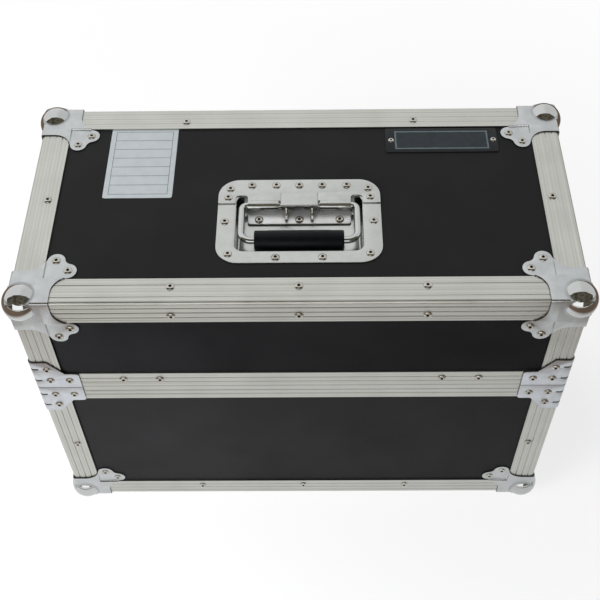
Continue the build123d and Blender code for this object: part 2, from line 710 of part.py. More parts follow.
grip_y = bail_axis_y - bail_length
with BuildPart() as bail:
    with BuildLine(rim.offset(-bail_axis_depth)):
        shoulder = JernArc((bail_half_width - bail_pivot_bend, bail_axis_y), (1, 0), bail_pivot_bend, -90)
        arm = Line(shoulder @ 1, (bail_half_width, grip_y + bail_bend))
        elbow = JernArc(arm @ 1, arm % 1, bail_bend, -90)
        Line(elbow @ 1, (0, grip_y))
    with BuildSketch(Plane(origin=shoulder @ 0, z_dir=shoulder % 0)):
        RegularPolygon(bail_rod_radius, bail_facets)
    sweep()
    rod(rim, (bail_end_gap, bail_half_width - bail_pivot_bend), bail_axis_y, -bail_axis_depth, bail_rod_radius)
    mirror(about=Plane.YZ)
finish(bail, "handle_bail")

with BuildPart() as grip:
    rod(rim, (-grip_length / 2, grip_length / 2), grip_y, -bail_axis_depth, grip_radius)
    chamfer(grip.edges().filter_by(GeomType.CIRCLE), grip_edge)
    rod(rim, (-grip_length, grip_length), grip_y, -bail_axis_depth, bail_rod_radius + running_play,
        mode=Mode.SUBTRACT)
finish(grip, "handle_grip")


# ---- blank badge plate on the lid ----
with BuildPart() as badge:
    with BuildSketch(Plane.XY.offset(lid_panel_z)):
        with Locations((badge_x, badge_y)):
            RectangleRounded(badge_width, badge_length, badge_radius)
    extrude(amount=badge_sheet)
finish(badge, "badge_plate")


# ---- foam: solid block, three bored rows over it, a pad in the lid ----
foam_x = half_width - frame_wall - foam_play
foam_y = half_depth - frame_wall - foam_play
foam_floor = bottom_z + frame_wall + foam_play
foam_top = split_z - foam_top_drop
foam_step = foam_top - foam_insert_height
mic_pitch_x = 2 * (foam_x - mic_margin) / (mic_columns - 1)
mic_pitch_y = 2 * (foam_y - mic_margin_y) / (mic_rows - 1)

with BuildPart() as foam_block:
    with Locations((0, 0, foam_floor)):
        Box(2 * foam_x, 2 * foam_y, foam_step - foam_play - foam_floor,
            align=(Align.CENTER, Align.CENTER, Align.MIN))
finish(foam_block, "foam_base_block")

row_edge = mic_pitch_y / 2
for word, low, high in (
    ("front", -foam_y, -row_edge - foam_play / 2),
    ("middle", foam_play / 2 - row_edge, row_edge - foam_play / 2),
    ("rear", row_edge + foam_play / 2, foam_y),
):
    row = {"front": -mic_pitch_y, "middle": 0, "rear": mic_pitch_y}[word]
    with BuildPart() as foam_row:
        with Locations((0, (low + high) / 2, foam_step)):
            Box(2 * foam_x, high - low, foam_insert_height, align=(Align.CENTER, Align.CENTER, Align.MIN))
        with BuildSketch(Plane.XY.offset(foam_step)):
            with Locations((0, row)):
                with GridLocations(mic_pitch_x, 0, mic_columns, 1):
                    Circle(mic_bore_radius)
        extrude(amount=foam_insert_height, mode=Mode.SUBTRACT)
        dish_back = half_width - edge_wall - latch_depth - latch_sheet - cutout_play
        for side in (-1, 1):
            with Locations((side * (dish_back + latch_depth), 0, foam_top)):
                Box(2 * latch_depth, latch_hole, 2 * foam_insert_height, mode=Mode.SUBTRACT)
    finish(foam_row, f"foam_{word}_row")

with BuildPart() as lid_foam:
    lid_foam_top = top_z - frame_wall - foam_play
    with Locations((0, 0, lid_foam_top)):
        Box(2 * foam_x, 2 * foam_y, lid_foam_thickness, align=(Align.CENTER, Align.CENTER, Align.MAX))
    pan_floor = rim.origin.Z - pan_depth - handle_sheet
    with Locations((0, pan_y, pan_floor - cutout_play)):
        Box(pan_width + 2 * (handle_sheet + cutout_play), pan_length + 2 * (handle_sheet + cutout_play),
            lid_foam_thickness, align=(Align.CENTER, Align.CENTER, Align.MIN), mode=Mode.SUBTRACT)
finish(lid_foam, "lid_foam")
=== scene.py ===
import json
import math
import random

import bpy
from mathutils import Matrix, Quaternion, Vector


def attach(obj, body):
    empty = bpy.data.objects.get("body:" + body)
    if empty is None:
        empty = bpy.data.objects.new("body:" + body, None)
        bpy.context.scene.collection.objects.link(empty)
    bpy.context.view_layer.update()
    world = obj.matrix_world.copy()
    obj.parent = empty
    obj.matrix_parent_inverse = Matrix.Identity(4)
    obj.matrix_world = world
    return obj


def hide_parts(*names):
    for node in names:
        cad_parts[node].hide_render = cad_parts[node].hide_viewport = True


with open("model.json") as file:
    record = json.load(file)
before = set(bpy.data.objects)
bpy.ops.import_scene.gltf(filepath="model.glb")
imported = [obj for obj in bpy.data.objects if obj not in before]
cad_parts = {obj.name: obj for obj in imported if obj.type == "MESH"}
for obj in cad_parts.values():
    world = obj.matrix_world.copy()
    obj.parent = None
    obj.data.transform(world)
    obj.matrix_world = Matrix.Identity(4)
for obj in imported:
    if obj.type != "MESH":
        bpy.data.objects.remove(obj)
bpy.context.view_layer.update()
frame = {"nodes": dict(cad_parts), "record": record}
nodes = frame["nodes"]
bodies = {name: set(group) for name, group in frame["record"]["behaviour"]["bodies"].items()}
mm = 0.001

# where the case stands, in millimetres: origin on the floor under its middle
case = {"halfWidth": 230.0, "halfDepth": 111.0, "underside": 12.0, "split": 214.0, "top": 333.0}
halfWidth, halfDepth = case["halfWidth"], case["halfDepth"]
halves = (("base", case["underside"], 1), ("lid", case["top"], -1))  # its outer face, and the way inwards
ends = ((-1, "left"), (1, "right"))
longSides = ((-1, "front"), (1, "rear"))


def values(group, *keys):
    return [group[key] for key in keys]


def deselectAll():
    if bpy.context.object and bpy.context.object.mode != "OBJECT":
        bpy.ops.object.mode_set(mode="OBJECT")
    bpy.ops.object.select_all(action="DESELECT")


def pick(*pieces):
    deselectAll()
    for piece in pieces:
        piece.select_set(True)
    bpy.context.view_layer.objects.active = pieces[0]


def named(name, piece=None):
    # without a piece, it names what an operator has just added
    piece = piece or bpy.context.object
    piece.name = name
    piece.data.name = name
    return piece


def bakePlace(piece):
    pick(piece)
    bpy.ops.object.transform_apply(location=True, rotation=True, scale=True)
    return piece


def applyModifier(piece, kind, **settings):
    pick(piece)
    made = piece.modifiers.new(kind.lower(), kind)
    for name, value in settings.items():
        setattr(made, name, value)
    bpy.ops.object.modifier_apply(modifier=made.name)
    return piece


def roundEdges(piece, width, segments, angle):
    return applyModifier(piece, "BEVEL", width=width * mm, segments=segments, limit_method="ANGLE",
                         angle_limit=math.radians(angle), use_clamp_overlap=True)


def smooth(piece, angle):
    pick(piece)
    bpy.ops.object.shade_smooth_by_angle(angle=math.radians(angle))
    return piece


def softened(piece, width, segments=2, angle=50):
    # edges sharper than the angle rounded, and the curves shaded smooth
    return smooth(roundEdges(piece, width, segments, angle), 40)


def edit(piece, mode="VERT"):
    pick(piece)
    bpy.ops.object.mode_set(mode="EDIT")
    bpy.ops.mesh.select_mode(type=mode)


def leave():
    bpy.ops.object.mode_set(mode="OBJECT")


def editAll(piece, operator, **settings):
    edit(piece)
    bpy.ops.mesh.select_all(action="SELECT")
    operator(**settings)
    leave()
    return piece


def editWhere(piece, kind, test, operator, **settings):
    # works on the vertices, edges or polygons whose middle, in millimetres, passes the test
    edit(piece, {"vertices": "VERT", "edges": "EDGE", "polygons": "FACE"}[kind])
    bpy.ops.mesh.select_all(action="DESELECT")
    leave()
    mesh = piece.data
    for item in getattr(mesh, kind):
        if kind == "vertices":
            middle = item.co
        elif kind == "edges":
            middle = (mesh.vertices[item.vertices[0]].co + mesh.vertices[item.vertices[1]].co) / 2
        else:
            middle = item.center
        item.select = bool(test(middle / mm, item))
    bpy.ops.object.mode_set(mode="EDIT")
    operator(**settings)
    leave()


def mergePoints(piece, distance=0.005):
    return editAll(piece, bpy.ops.mesh.remove_doubles, threshold=distance * mm)


def pointOutwards(piece):
    return editAll(piece, bpy.ops.mesh.normals_make_consistent, inside=False)


def sliced(piece, point, normal, clearOuter=False, clearInner=False, fill=False):
    return editAll(piece, bpy.ops.mesh.bisect, plane_co=Vector(point) * mm, plane_no=normal,
                   clear_outer=clearOuter, clear_inner=clearInner, use_fill=fill, threshold=1e-7)


def addBox(name, low, high):
    deselectAll()
    middle = [(a + b) / 2 * mm for a, b in zip(low, high)]
    bpy.ops.mesh.primitive_cube_add(size=1, location=middle, scale=[(b - a) * mm for a, b in zip(low, high)])
    return bakePlace(named(name))


def addRod(name, start, end, radius, corners=32):
    deselectAll()
    start, end = Vector(start) * mm, Vector(end) * mm
    turn = (end - start).to_track_quat("Z", "Y").to_euler()
    bpy.ops.mesh.primitive_cylinder_add(
        vertices=corners, radius=radius * mm, depth=(end - start).length, location=(start + end) / 2,
        rotation=turn)
    return bakePlace(named(name))


def addBall(name, centre, radius, segments, rings):
    deselectAll()
    bpy.ops.mesh.primitive_uv_sphere_add(
        segments=segments, ring_count=rings, radius=radius * mm, location=[c * mm for c in centre])
    return bakePlace(named(name))


def addPlate(name, outline, thickness):
    # a flat plate standing on Z = 0: a filled ring of points drawn to the outline, then extruded
    deselectAll()
    bpy.ops.mesh.primitive_circle_add(vertices=len(outline), radius=mm, fill_type="NGON")
    plate = named(name)
    for vertex, (x, y) in zip(plate.data.vertices, outline):
        vertex.co = (x * mm, y * mm, 0)
    if thickness:
        editAll(plate, bpy.ops.mesh.extrude_region_move,
                TRANSFORM_OT_translate={"value": (0, 0, thickness * mm)})
        pointOutwards(plate)
    return plate


def arc(centre, radius, start, end, steps):
    # points on an arc, angles in degrees
    turn = [math.radians(start + (end - start) * i / steps) for i in range(steps + 1)]
    return [(centre[0] + radius * math.cos(t), centre[1] + radius * math.sin(t)) for t in turn]


def roundedOutline(width, height, radius, centre=(0, 0), steps=5):
    x, y = width / 2 - radius, height / 2 - radius
    corners = ((x, y, 0), (-x, y, 90), (-x, -y, 180), (x, -y, 270))
    return [p for cx, cy, a in corners
            for p in arc((centre[0] + cx, centre[1] + cy), radius, a, a + 90, steps)]


def eased(share):
    # 0 to 1 with a soft start and end
    share = min(max(share, 0.0), 1.0)
    return share * share * (3 - 2 * share)


def frameOf(x, y, z, origin=(0, 0, 0)):
    # a matrix whose columns are the three directions, placed at the origin given in millimetres
    return Matrix.Translation(Vector(origin) * mm) @ Matrix((x, y, z)).transposed().to_4x4()


def placed(piece, location=(0, 0, 0), matrix=None):
    # moves the mesh itself, so that the object stays at the origin
    move = Matrix.Translation(Vector(location) * mm)
    piece.data.transform(move @ matrix if matrix else move)
    if matrix and matrix.determinant() < 0:
        editAll(piece, bpy.ops.mesh.flip_normals)
    return piece


def copyOf(piece, name):
    twin = piece.copy()
    twin.data = piece.data.copy()
    twin.parent = None
    for key in list(twin.keys()):
        del twin[key]
    bpy.context.collection.objects.link(twin)
    return named(name, twin)


def joined(name, pieces):
    pick(*pieces)
    if len(pieces) > 1:
        bpy.ops.object.join()
    return named(name)


def cut(piece, cutter):
    applyModifier(piece, "BOOLEAN", object=cutter, operation="DIFFERENCE", solver="EXACT")
    bpy.data.objects.remove(cutter)
    return piece


def coated(piece, *materials):
    piece.data.materials.clear()
    for material in materials:
        piece.data.materials.append(material)
    return piece


def give(piece, body, slot, material, *replaced):
    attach(piece, body)
    if material:
        coated(piece, material)
    if replaced:
        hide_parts(*replaced)
    return piece


def atCorners(model, name, half, node, height, up):
    # a copy in each corner of the footprint, mirrored to fit
    for sideY, depthWord in longSides:
        for sideX, endWord in ends:
            piece = copyOf(model, f"{half}{name}_{depthWord}{endWord.title()}")
            placed(piece, (sideX * halfWidth, sideY * halfDepth, height),
                   frameOf((-sideX, 0, 0), (0, -sideY, 0), (0, 0, up)))
            give(piece, half, "corner_steel", None, f"{half}_{node}")


def drawnThrough(name, rings, openStart=False):
    # a filled ring, extruded once for each next ring; every ring has as many points as the first
    deselectAll()
    count = len(rings[0])
    bpy.ops.mesh.primitive_circle_add(vertices=count, radius=mm, fill_type="NGON")
    piece = named(name)
    for vertex, point in zip(piece.data.vertices, rings[0]):
        vertex.co = Vector(point) * mm
    edit(piece)
    bpy.ops.mesh.select_all(action="SELECT")
    for before, after in zip(rings, rings[1:]):
        bpy.ops.mesh.extrude_region_move()
        leave()
        spots = [Vector(point) * mm for point in before]
        for vertex in [v for v in piece.data.vertices if v.select]:
            nearest = min(range(count), key=lambda i: (spots[i] - vertex.co).length_squared)
            vertex.co = Vector(after[nearest]) * mm
        bpy.ops.object.mode_set(mode="EDIT")
    leave()
    if openStart:
        first = [Vector(point) * mm for point in rings[0]]
        editWhere(piece, "polygons", lambda middle, face: all(
            min((point - piece.data.vertices[v].co).length_squared for point in first) < 1e-12
            for v in face.vertices), bpy.ops.mesh.delete, type="ONLY_FACE")
    return pointOutwards(piece)


def turned(name, profile, corners):
    # a piece turned about Z from (radius, height) pairs
    turns = [2 * math.pi * i / corners for i in range(corners)]
    return drawnThrough(name, [[(r * math.cos(t), r * math.sin(t), h) for t in turns] for r, h in profile])


def thicken(piece, thickness, rim=0):
    # rim is the number of material slots that the cut edge is moved on by
    return applyModifier(piece, "SOLIDIFY", thickness=thickness * mm, offset=-1.0, use_even_offset=True,
                         material_offset_rim=rim)


def smoothedCopy(node, name, material, slot, rounding=0.0, angle=32):
    # the CAD shape with its facets merged, its edges softened and its curves shaded smooth
    piece = mergePoints(copyOf(nodes[node], name))
    if rounding:
        editAll(piece, bpy.ops.mesh.dissolve_limited, angle_limit=math.radians(0.6))
        roundEdges(piece, rounding, 2, 40)
    smooth(piece, angle)
    applyModifier(piece, "WEIGHTED_NORMAL", keep_sharp=True)  # flat faces stay flat beside a rounded edge
    return give(piece, next(body for body, group in bodies.items() if node in group), slot, material, node)


def wire(name, points, radius, resolution):
    # a round wire that runs straight from point to point
    data = bpy.data.curves.new(name, "CURVE")
    data.dimensions = "3D"
    data.bevel_depth = radius * mm
    data.bevel_resolution = resolution
    data.use_fill_caps = True
    spline = data.splines.new("POLY")
    spline.points.add(len(points) - 1)
    for spot, point in zip(spline.points, points):
        spot.co = (*[c * mm for c in point], 1.0)
    curve = bpy.data.objects.new(name, data)
    bpy.context.collection.objects.link(curve)
    pick(curve)
    bpy.ops.object.convert(target="MESH")
    return named(name)


print("frame loaded,", len(nodes), "nodes")


def linear(code):
    # "#RRGGBB" in sRGB to the linear values that shaders take
    channels = [int(code[i:i + 2], 16) / 255 for i in (1, 3, 5)]
    return tuple(c / 12.92 if c <= 0.04045 else ((c + 0.055) / 1.055) ** 2.4 for c in channels) + (1.0,)


def feed(tree, node, **inputs):
    # links or sets inputs by name, or by number as i0, i1 and so on
    for name, value in inputs.items():
        key = int(name[1:]) if name[0] == "i" and name[1:].isdigit() else name.replace("_", " ")
        if isinstance(value, bpy.types.NodeSocket):
            tree.links.new(value, node.inputs[key])
        else:
            node.inputs[key].default_value = value
    return node


def addNode(tree, kind, settings=None, **inputs):
    made = tree.nodes.new("ShaderNode" + kind)
    for name, value in (settings or {}).items():
        setattr(made, name, value)
    return feed(tree, made, **inputs)


def newMaterial(name, **shader):
    material = bpy.data.materials.new(name)
    material.use_nodes = True
    tree = material.node_tree
    return material, tree, feed(tree, tree.nodes["Principled BSDF"], **shader)


def objectPattern(tree, scale=(1, 1, 1)):
    # Object coordinates, one unit per (1 / scale) metres
    where = addNode(tree, "TexCoord").outputs["Object"]
    return addNode(tree, "Mapping", {"vector_type": "POINT"}, Vector=where, Scale=scale).outputs["Vector"]


def noise(tree, vector, size, detail=3.0, rough=0.5):
    # size is the width of one patch in millimetres
    made = addNode(tree, "TexNoise", None, Vector=vector, Scale=1000.0 / size, Detail=detail, Roughness=rough)
    return made.outputs["Fac"]


def cells(tree, vector, size, feature="F1"):
    # size is the width of one cell in millimetres
    made = addNode(tree, "TexVoronoi", {"feature": feature}, Vector=vector, Scale=1000.0 / size)
    return made.outputs["Distance"]


def ramp(tree, value, low, high, atLow=0.0, atHigh=1.0):
    return addNode(tree, "MapRange", None, Value=value, From_Min=low, From_Max=high, To_Min=atLow,
                   To_Max=atHigh).outputs["Result"]


def blendColor(tree, amount, first, second):
    return addNode(tree, "Mix", {"data_type": "RGBA"}, Factor=amount, i6=first, i7=second).outputs[2]


def toned(tree, value, low, high, first, second):
    # from the first colour at low to the second at high
    return blendColor(tree, ramp(tree, value, low, high), linear(first), linear(second))


def combine(tree, operation, first, second):
    return addNode(tree, "Math", {"operation": operation}, i0=first, i1=second).outputs[0]


def mixed(tree, first, share, second, rest):
    parts = combine(tree, "MULTIPLY", first, share), combine(tree, "MULTIPLY", second, rest)
    return combine(tree, "ADD", *parts)


def bump(tree, surface, height, strength, depth):
    # depth in millimetres
    made = addNode(tree, "Bump", None, Height=height, Strength=strength, Distance=depth * mm)
    feed(tree, surface, Normal=made.outputs["Normal"])


def makeLaminate(name, film, worn, sheen):
    # phenolic film pressed on plywood: near black, its fine pebble leaves only a dull, broken sheen
    look = {"pebble": 0.9, "mottle": 70.0, "smear": 24.0}  # real grain is about 0.4 mm, drawn coarser
    material, tree, surface = newMaterial(name, Specular_IOR_Level=sheen, IOR=1.5)
    here = objectPattern(tree)
    feed(tree, surface, Base_Color=toned(tree, noise(tree, here, look["mottle"], 4.0), 0.35, 0.7, film, worn),
         Roughness=ramp(tree, noise(tree, here, look["smear"]), 0.3, 0.75, 0.44, 0.52))
    bump(tree, surface, noise(tree, here, look["pebble"], 2.0, 0.4), 0.4, 0.1)
    return material


def makeAluminium(axis):
    # extruded and anodised aluminium: an even satin grey, faint die lines along the bar
    look = {"metal": "#cacbc5", "shade": "#bebfb9", "line": 0.5, "run": 260.0, "rib": 3.0, "cloud": 30.0}
    material, tree, surface = newMaterial("anodisedAluminium" + axis, Metallic=1.0, Roughness=0.34)
    stretch = [1.0 if letter != axis else look["line"] / look["run"] for letter in "XYZ"]
    here = objectPattern(tree)
    lines = noise(tree, objectPattern(tree, stretch), look["line"], 3.0, 0.6)
    cloud = noise(tree, here, look["cloud"], 4.0)
    axes = addNode(tree, "SeparateXYZ", None, Vector=here).outputs
    across = combine(tree, "ADD", *[axes[letter] for letter in "XYZ" if letter != axis])
    ribs = combine(tree, "SINE", combine(tree, "MULTIPLY", across, 2000.0 * math.pi / look["rib"]), 0.0)
    ribs = combine(tree, "MULTIPLY", ramp(tree, ribs, -1, 1), ramp(tree, cloud, 0.3, 0.6, 0.6, 1.0))
    tone = mixed(tree, lines, 0.6, cloud, 0.4)
    feed(tree, surface, Roughness=ramp(tree, tone, 0.35, 0.65, 0.4, 0.32),
         Base_Color=toned(tree, mixed(tree, tone, 0.65, ribs, 0.35), 0.3, 0.65, look["shade"], look["metal"]))
    bump(tree, surface, combine(tree, "ADD", ribs, combine(tree, "MULTIPLY", lines, 0.1)), 0.8, 0.1)
    return material


def makeSheetMetal(name, metal, shade, roughness, scuff=0.06, metallic=1.0):
    # plated sheet steel: soft rolling grain under the plating, lightly handled
    look = {"grain": 1.2, "cloud": 9.0}
    material, tree, surface = newMaterial(name, Metallic=metallic, Roughness=roughness)
    here = objectPattern(tree)
    cloud = noise(tree, here, look["cloud"], 4.0, 0.55)
    grain = noise(tree, here, look["grain"])
    handled = ramp(tree, mixed(tree, cloud, 0.6, grain, 0.4), 0.35, 0.65, roughness + scuff,
                   max(roughness - scuff, 0.02))
    feed(tree, surface, Base_Color=toned(tree, cloud, 0.35, 0.65, shade, metal), Roughness=handled)
    bump(tree, surface, grain, 0.12, 0.02)
    return material


def makeRubber(name, dark, light, roughness, grain, sheen=0.5):
    # moulded rubber or vinyl: deep black, a pebbled skin that scatters what little it shines
    material, tree, surface = newMaterial(name, Roughness=roughness, IOR=1.52, Specular_IOR_Level=sheen)
    here = objectPattern(tree)
    cloud = noise(tree, here, 6.0)
    feed(tree, surface, Base_Color=toned(tree, cloud, 0.3, 0.7, dark, light),
         Roughness=ramp(tree, cloud, 0.3, 0.7, roughness - 0.06, roughness + 0.08))
    bump(tree, surface, cells(tree, here, grain, "SMOOTH_F1"), 0.5, 0.18)
    return material


def makeFoam():
    # open-cell polyurethane foam: matt charcoal, cells of about a millimetre
    look = {"deep": "#1b1b1d", "skin": "#39393c", "cell": 1.1, "cloud": 14.0}
    material, tree, surface = newMaterial("charcoalFoam", Roughness=0.95, IOR=1.4)
    here = objectPattern(tree)
    pores = cells(tree, here, look["cell"])
    tone = mixed(tree, pores, 0.7, noise(tree, here, look["cloud"], 4.0), 0.5)
    feed(tree, surface, Base_Color=toned(tree, tone, 0.25, 0.85, look["deep"], look["skin"]))
    bump(tree, surface, pores, 0.9, 0.5)
    return material


def makePaint(name, light, dark, roughness, sheen):
    # a thin sprayed or printed coat: nearly even, with a faint orange peel
    look = {"cloud": 7.0, "peel": 0.8}
    material, tree, surface = newMaterial(name, Roughness=roughness, IOR=1.5, Specular_IOR_Level=sheen)
    here = objectPattern(tree)
    cloud = noise(tree, here, look["cloud"], 4.0)
    feed(tree, surface, Base_Color=toned(tree, cloud, 0.35, 0.65, dark, light),
         Roughness=ramp(tree, cloud, 0.3, 0.7, roughness - 0.05, roughness + 0.05))
    bump(tree, surface, noise(tree, here, look["peel"], 2.0), 0.15, 0.03)
    return material


laminate = makeLaminate("blackPhenolicLaminate", "#1b1b1c", "#1f1f20", 0.1)
# the walls take darker copies of the top laminate with less sheen: painted shade for how the light falls, the
# lid walls darker than the base walls
baseWallShadedLaminate = makeLaminate("dullPhenolicLaminate", "#161617", "#1b1b1c", 0.05)
lidWallShadedLaminate = makeLaminate("mattPhenolicLaminate", "#131314", "#181819", 0.01)
aluminium = {axis: makeAluminium(axis) for axis in "XYZ"}
nickel = makeSheetMetal("satinNickelPlate", "#c6c9ca", "#bdc0c1", 0.3)
chrome = makeSheetMetal("polishedChrome", "#c6c8c7", "#c1c3c2", 0.04, scuff=0.02)
zinc = makeSheetMetal("brightZincPlate", "#cfd0cf", "#c3c5c5", 0.2)
handleZinc = makeSheetMetal("satinZincPlate", "#c4c6c3", "#bfc1be", 0.24, scuff=0.03)
# a paler, less metallic copy of the zinc for the clamp plate: painted light where the barrels shade it
clampLitZinc = makeSheetMetal("clampZincPaintedLight", "#e0e1e1", "#d9dada", 0.3, scuff=0.03, metallic=0.6)
springSteel = makeSheetMetal("springSteel", "#c4c4c0", "#b5b4af", 0.16)
# a paler copy of the nickel for the braces on the walls: painted light
braceLitNickel = makeSheetMetal("braceNickelPaintedLight", "#d4d8dd", "#ccd0d5", 0.34)
# darker nickel for the collar round each ball: painted shade in the crease
collarShadeNickel = makeSheetMetal("collarNickelPaintedShade", "#b4b7b9", "#a9acae", 0.36)
# dark steel for the cut edges of the corner sheet and braces: bare steel in part, darker as painted shade
# along the edges
edgeShadeSteel = makeSheetMetal("sheetEdgePaintedShade", "#6f6c66", "#5b5852", 0.5)
rivetSteel = makeSheetMetal("rivetSteel", "#c9c7c0", "#b5b1a8", 0.12)
rivetBorePaintedShade = makeSheetMetal("rivetBorePaintedShade", "#59544c", "#3a3630", 0.4)
gripVinyl = makeRubber("blackGripVinyl", "#07080c", "#0a0b10", 0.4, 0.9, 0.13)
footRubber = makeRubber("blackFootRubber", "#121213", "#1a1a1b", 0.7, 1.4)
foam = makeFoam()
badgeLacquer = makePaint("blackLacquer", "#15191c", "#111416", 0.38, 0.22)
badgeGrey = makePaint("slateGreyPaint", "#5f6d71", "#566468", 0.4, 0.25)
badgeEnamel = makePaint("slateEnamel", "#232b30", "#1e252a", 0.3, 0.25)
labelPaper = makePaint("coatedPaper", "#b4babd", "#afb5b8", 0.45, 0.3)
labelInk = makePaint("greyInk", "#5a6166", "#4e555a", 0.6, 0.3)
print("materials made")

# CAD nodes whose shape is right keep their mesh and take a material
for name, piece in nodes.items():
    flat = "top" in name or "bottom" in name
    # the walls take the darker copies of the laminate: painted shade
    film = laminate if flat else lidWallShadedLaminate if name.startswith("lid") else baseWallShadedLaminate
    coated(piece, film if name.endswith("_panel") else foam if "foam" in name else zinc)
print("frame dressed")

# the aluminium bars: merged and shaded smooth
bars = {
    "X": ("front_edge", "rear_edge", "front_closing", "rear_closing"),
    "Y": ("left_edge", "right_edge", "end_closings"),
    "Z": ("corner_posts",),
}
for half in ("base", "lid"):
    for axis, endings in bars.items():
        for ending in endings:
            node = f"{half}_{ending}"
            smoothedCopy(node, node + "_profile", aluminium[axis], "anodised_aluminium", angle=28)
print("bars smoothed")


# ball corner: one pressing, modelled once at the corner and copied to all eight
corner = {"sheet": 1.2, "reach": 33.0, "earFar": 44.0, "earNear": 33.5, "earRadius": 7.35,
          "notchRadius": 6.0, "neckRadius": 15.65, "neckDrop": 10.97, "round": 2.5, "edge": 0.3,
          "stepStart": 25.2, "stepEnd": 26.0, "drop": 1.5, "ball": 15.4, "inset": 8.7, "collar": 13.1}


def cornerOutline():
    # from the outer corner along the edge, round the hollow neck and over the two ears
    sheet, reach, far, near, drop = values(corner, "sheet", "reach", "earFar", "earNear", "neckDrop")
    neckRadius, earRadius, notchRadius = values(corner, "neckRadius", "earRadius", "notchRadius")
    neck, between, away = reach + neckRadius, (far - near) / math.sqrt(2), earRadius + notchRadius
    notch = (far + near) / 2 + math.sqrt((away ** 2 - between ** 2) / 2)
    toEar = math.degrees(math.atan2(near - drop, far - neck))
    toNotch = math.degrees(math.atan2(notch - near, notch - far))
    half = arc((neck, drop), neckRadius, 180, toEar, 10)
    half += arc((far, near), earRadius, toEar - 180, toNotch, 16)[1:]
    half += arc((notch, notch), notchRadius, toNotch + 180, 225, 4)[1:]
    other = [(y, x) for x, y in reversed(half[:-1])]
    return [(-sheet, -sheet), (reach, -sheet)] + half + other + [(-sheet, reach)]


def faceWays(turn):
    # the two directions along one face of the corner, and the way out of it
    along = [Vector([float(i == (turn + k) % 3) for i in range(3)]) for k in (1, 2)]
    return along[0], along[1], Vector([-float(i == turn) for i in range(3)])


def flangeShell():
    sheet, start, spread = corner["sheet"], corner["stepStart"], corner["stepEnd"] - corner["stepStart"]
    faces = []
    for turn in range(3):
        first, second, outward = faceWays(turn)
        face = addPlate(f"flange{turn}", cornerOutline(), 0)
        placed(face, outward * sheet, frameOf(first, second, -outward))
        if face.data.polygons[0].normal.dot(outward) < 0:
            editAll(face, bpy.ops.mesh.flip_normals)
        faces.append(face)
    shell = mergePoints(joined("cornerShell", faces), 0.01)
    for share in (0.0, 0.27, 0.6, 1.0):
        for normal in ((1, 0, 0), (0, 1, 0), (0, 0, 1)):
            sliced(shell, [n * (start + share * spread) for n in normal], normal)
    # past the step each ear lies on the panel
    for vertex in shell.data.vertices:
        places = vertex.co / mm
        depth = min(range(3), key=lambda i: places[i])
        along = min(places[i] for i in range(3) if i != depth)
        places[depth] += corner["drop"] * eased((along - start) / spread)
        vertex.co = places * mm
    editWhere(shell, "edges", lambda middle, edge: sorted(middle)[1] < 0.01 - sheet, bpy.ops.mesh.bevel,
              offset=corner["round"] * mm, segments=5, affect="EDGES")
    # the cut edge takes the dark steel: painted shade round the flange
    thicken(coated(shell, nickel, edgeShadeSteel), sheet, rim=1)
    return smooth(roundEdges(shell, corner["edge"], 2, 50), 38)


def collarRing(turn):
    # runs from a face up to the ball, trimmed where it meets the collars of the other faces
    sheet, ball, reach = values(corner, "sheet", "ball", "collar")
    depth = corner["inset"] + sheet
    fillet = (reach ** 2 - (ball ** 2 - depth ** 2)) / (2 * (ball - depth))
    touch = math.degrees(math.atan2(fillet + depth, reach))
    rise = arc((reach, fillet), fillet, 270, 180 + touch, 8)
    collar = turned(f"collar{turn}", [(reach, -sheet)] + rise, 64)
    first, second, outward = faceWays(turn)
    centre = Vector([corner["inset"]] * 3)
    centre[turn] = -sheet
    placed(collar, centre, frameOf(second, first, outward))
    for k in (1, 2):
        normal = [0, 0, 0]
        normal[turn], normal[(turn + k) % 3] = -1, 1
        sliced(collar, (0, 0, 0), normal, clearInner=True, fill=True)
    # the collar takes the darker nickel: painted shade where it meets the ball
    return coated(smooth(pointOutwards(collar), 38), collarShadeNickel)


def ballCorner():
    pieces = [flangeShell()] + [collarRing(turn) for turn in range(3)]
    dome = addBall("cornerDome", [corner["inset"]] * 3, corner["ball"], 72, 36)
    cut(dome, addBox("inside", (0, 0, 0), (40, 40, 40)))  # the part within the case
    return joined("ballCorner", pieces + [coated(smooth(dome, 30), chrome)])


modelCorner = ballCorner()
for half, height, up in halves:
    atCorners(modelCorner, "BallCorner", half, "ball_corners", height, up)
bpy.data.objects.remove(modelCorner)
print("ball corners made")


# corner brace: a bent angle with two slots at the bend
brace = {"sheet": 1.2, "reach": 39.3, "height": 37.5, "slopeTop": (14.8, 37.5), "slopeFoot": (27.6, 20.5),
         "tipRadius": 3.0, "bend": 3.0, "slotRows": (10.9, 27.8), "slotReach": 6.4, "slotHeight": 1.5,
         "edge": 0.25, "fromSplit": 0.2}


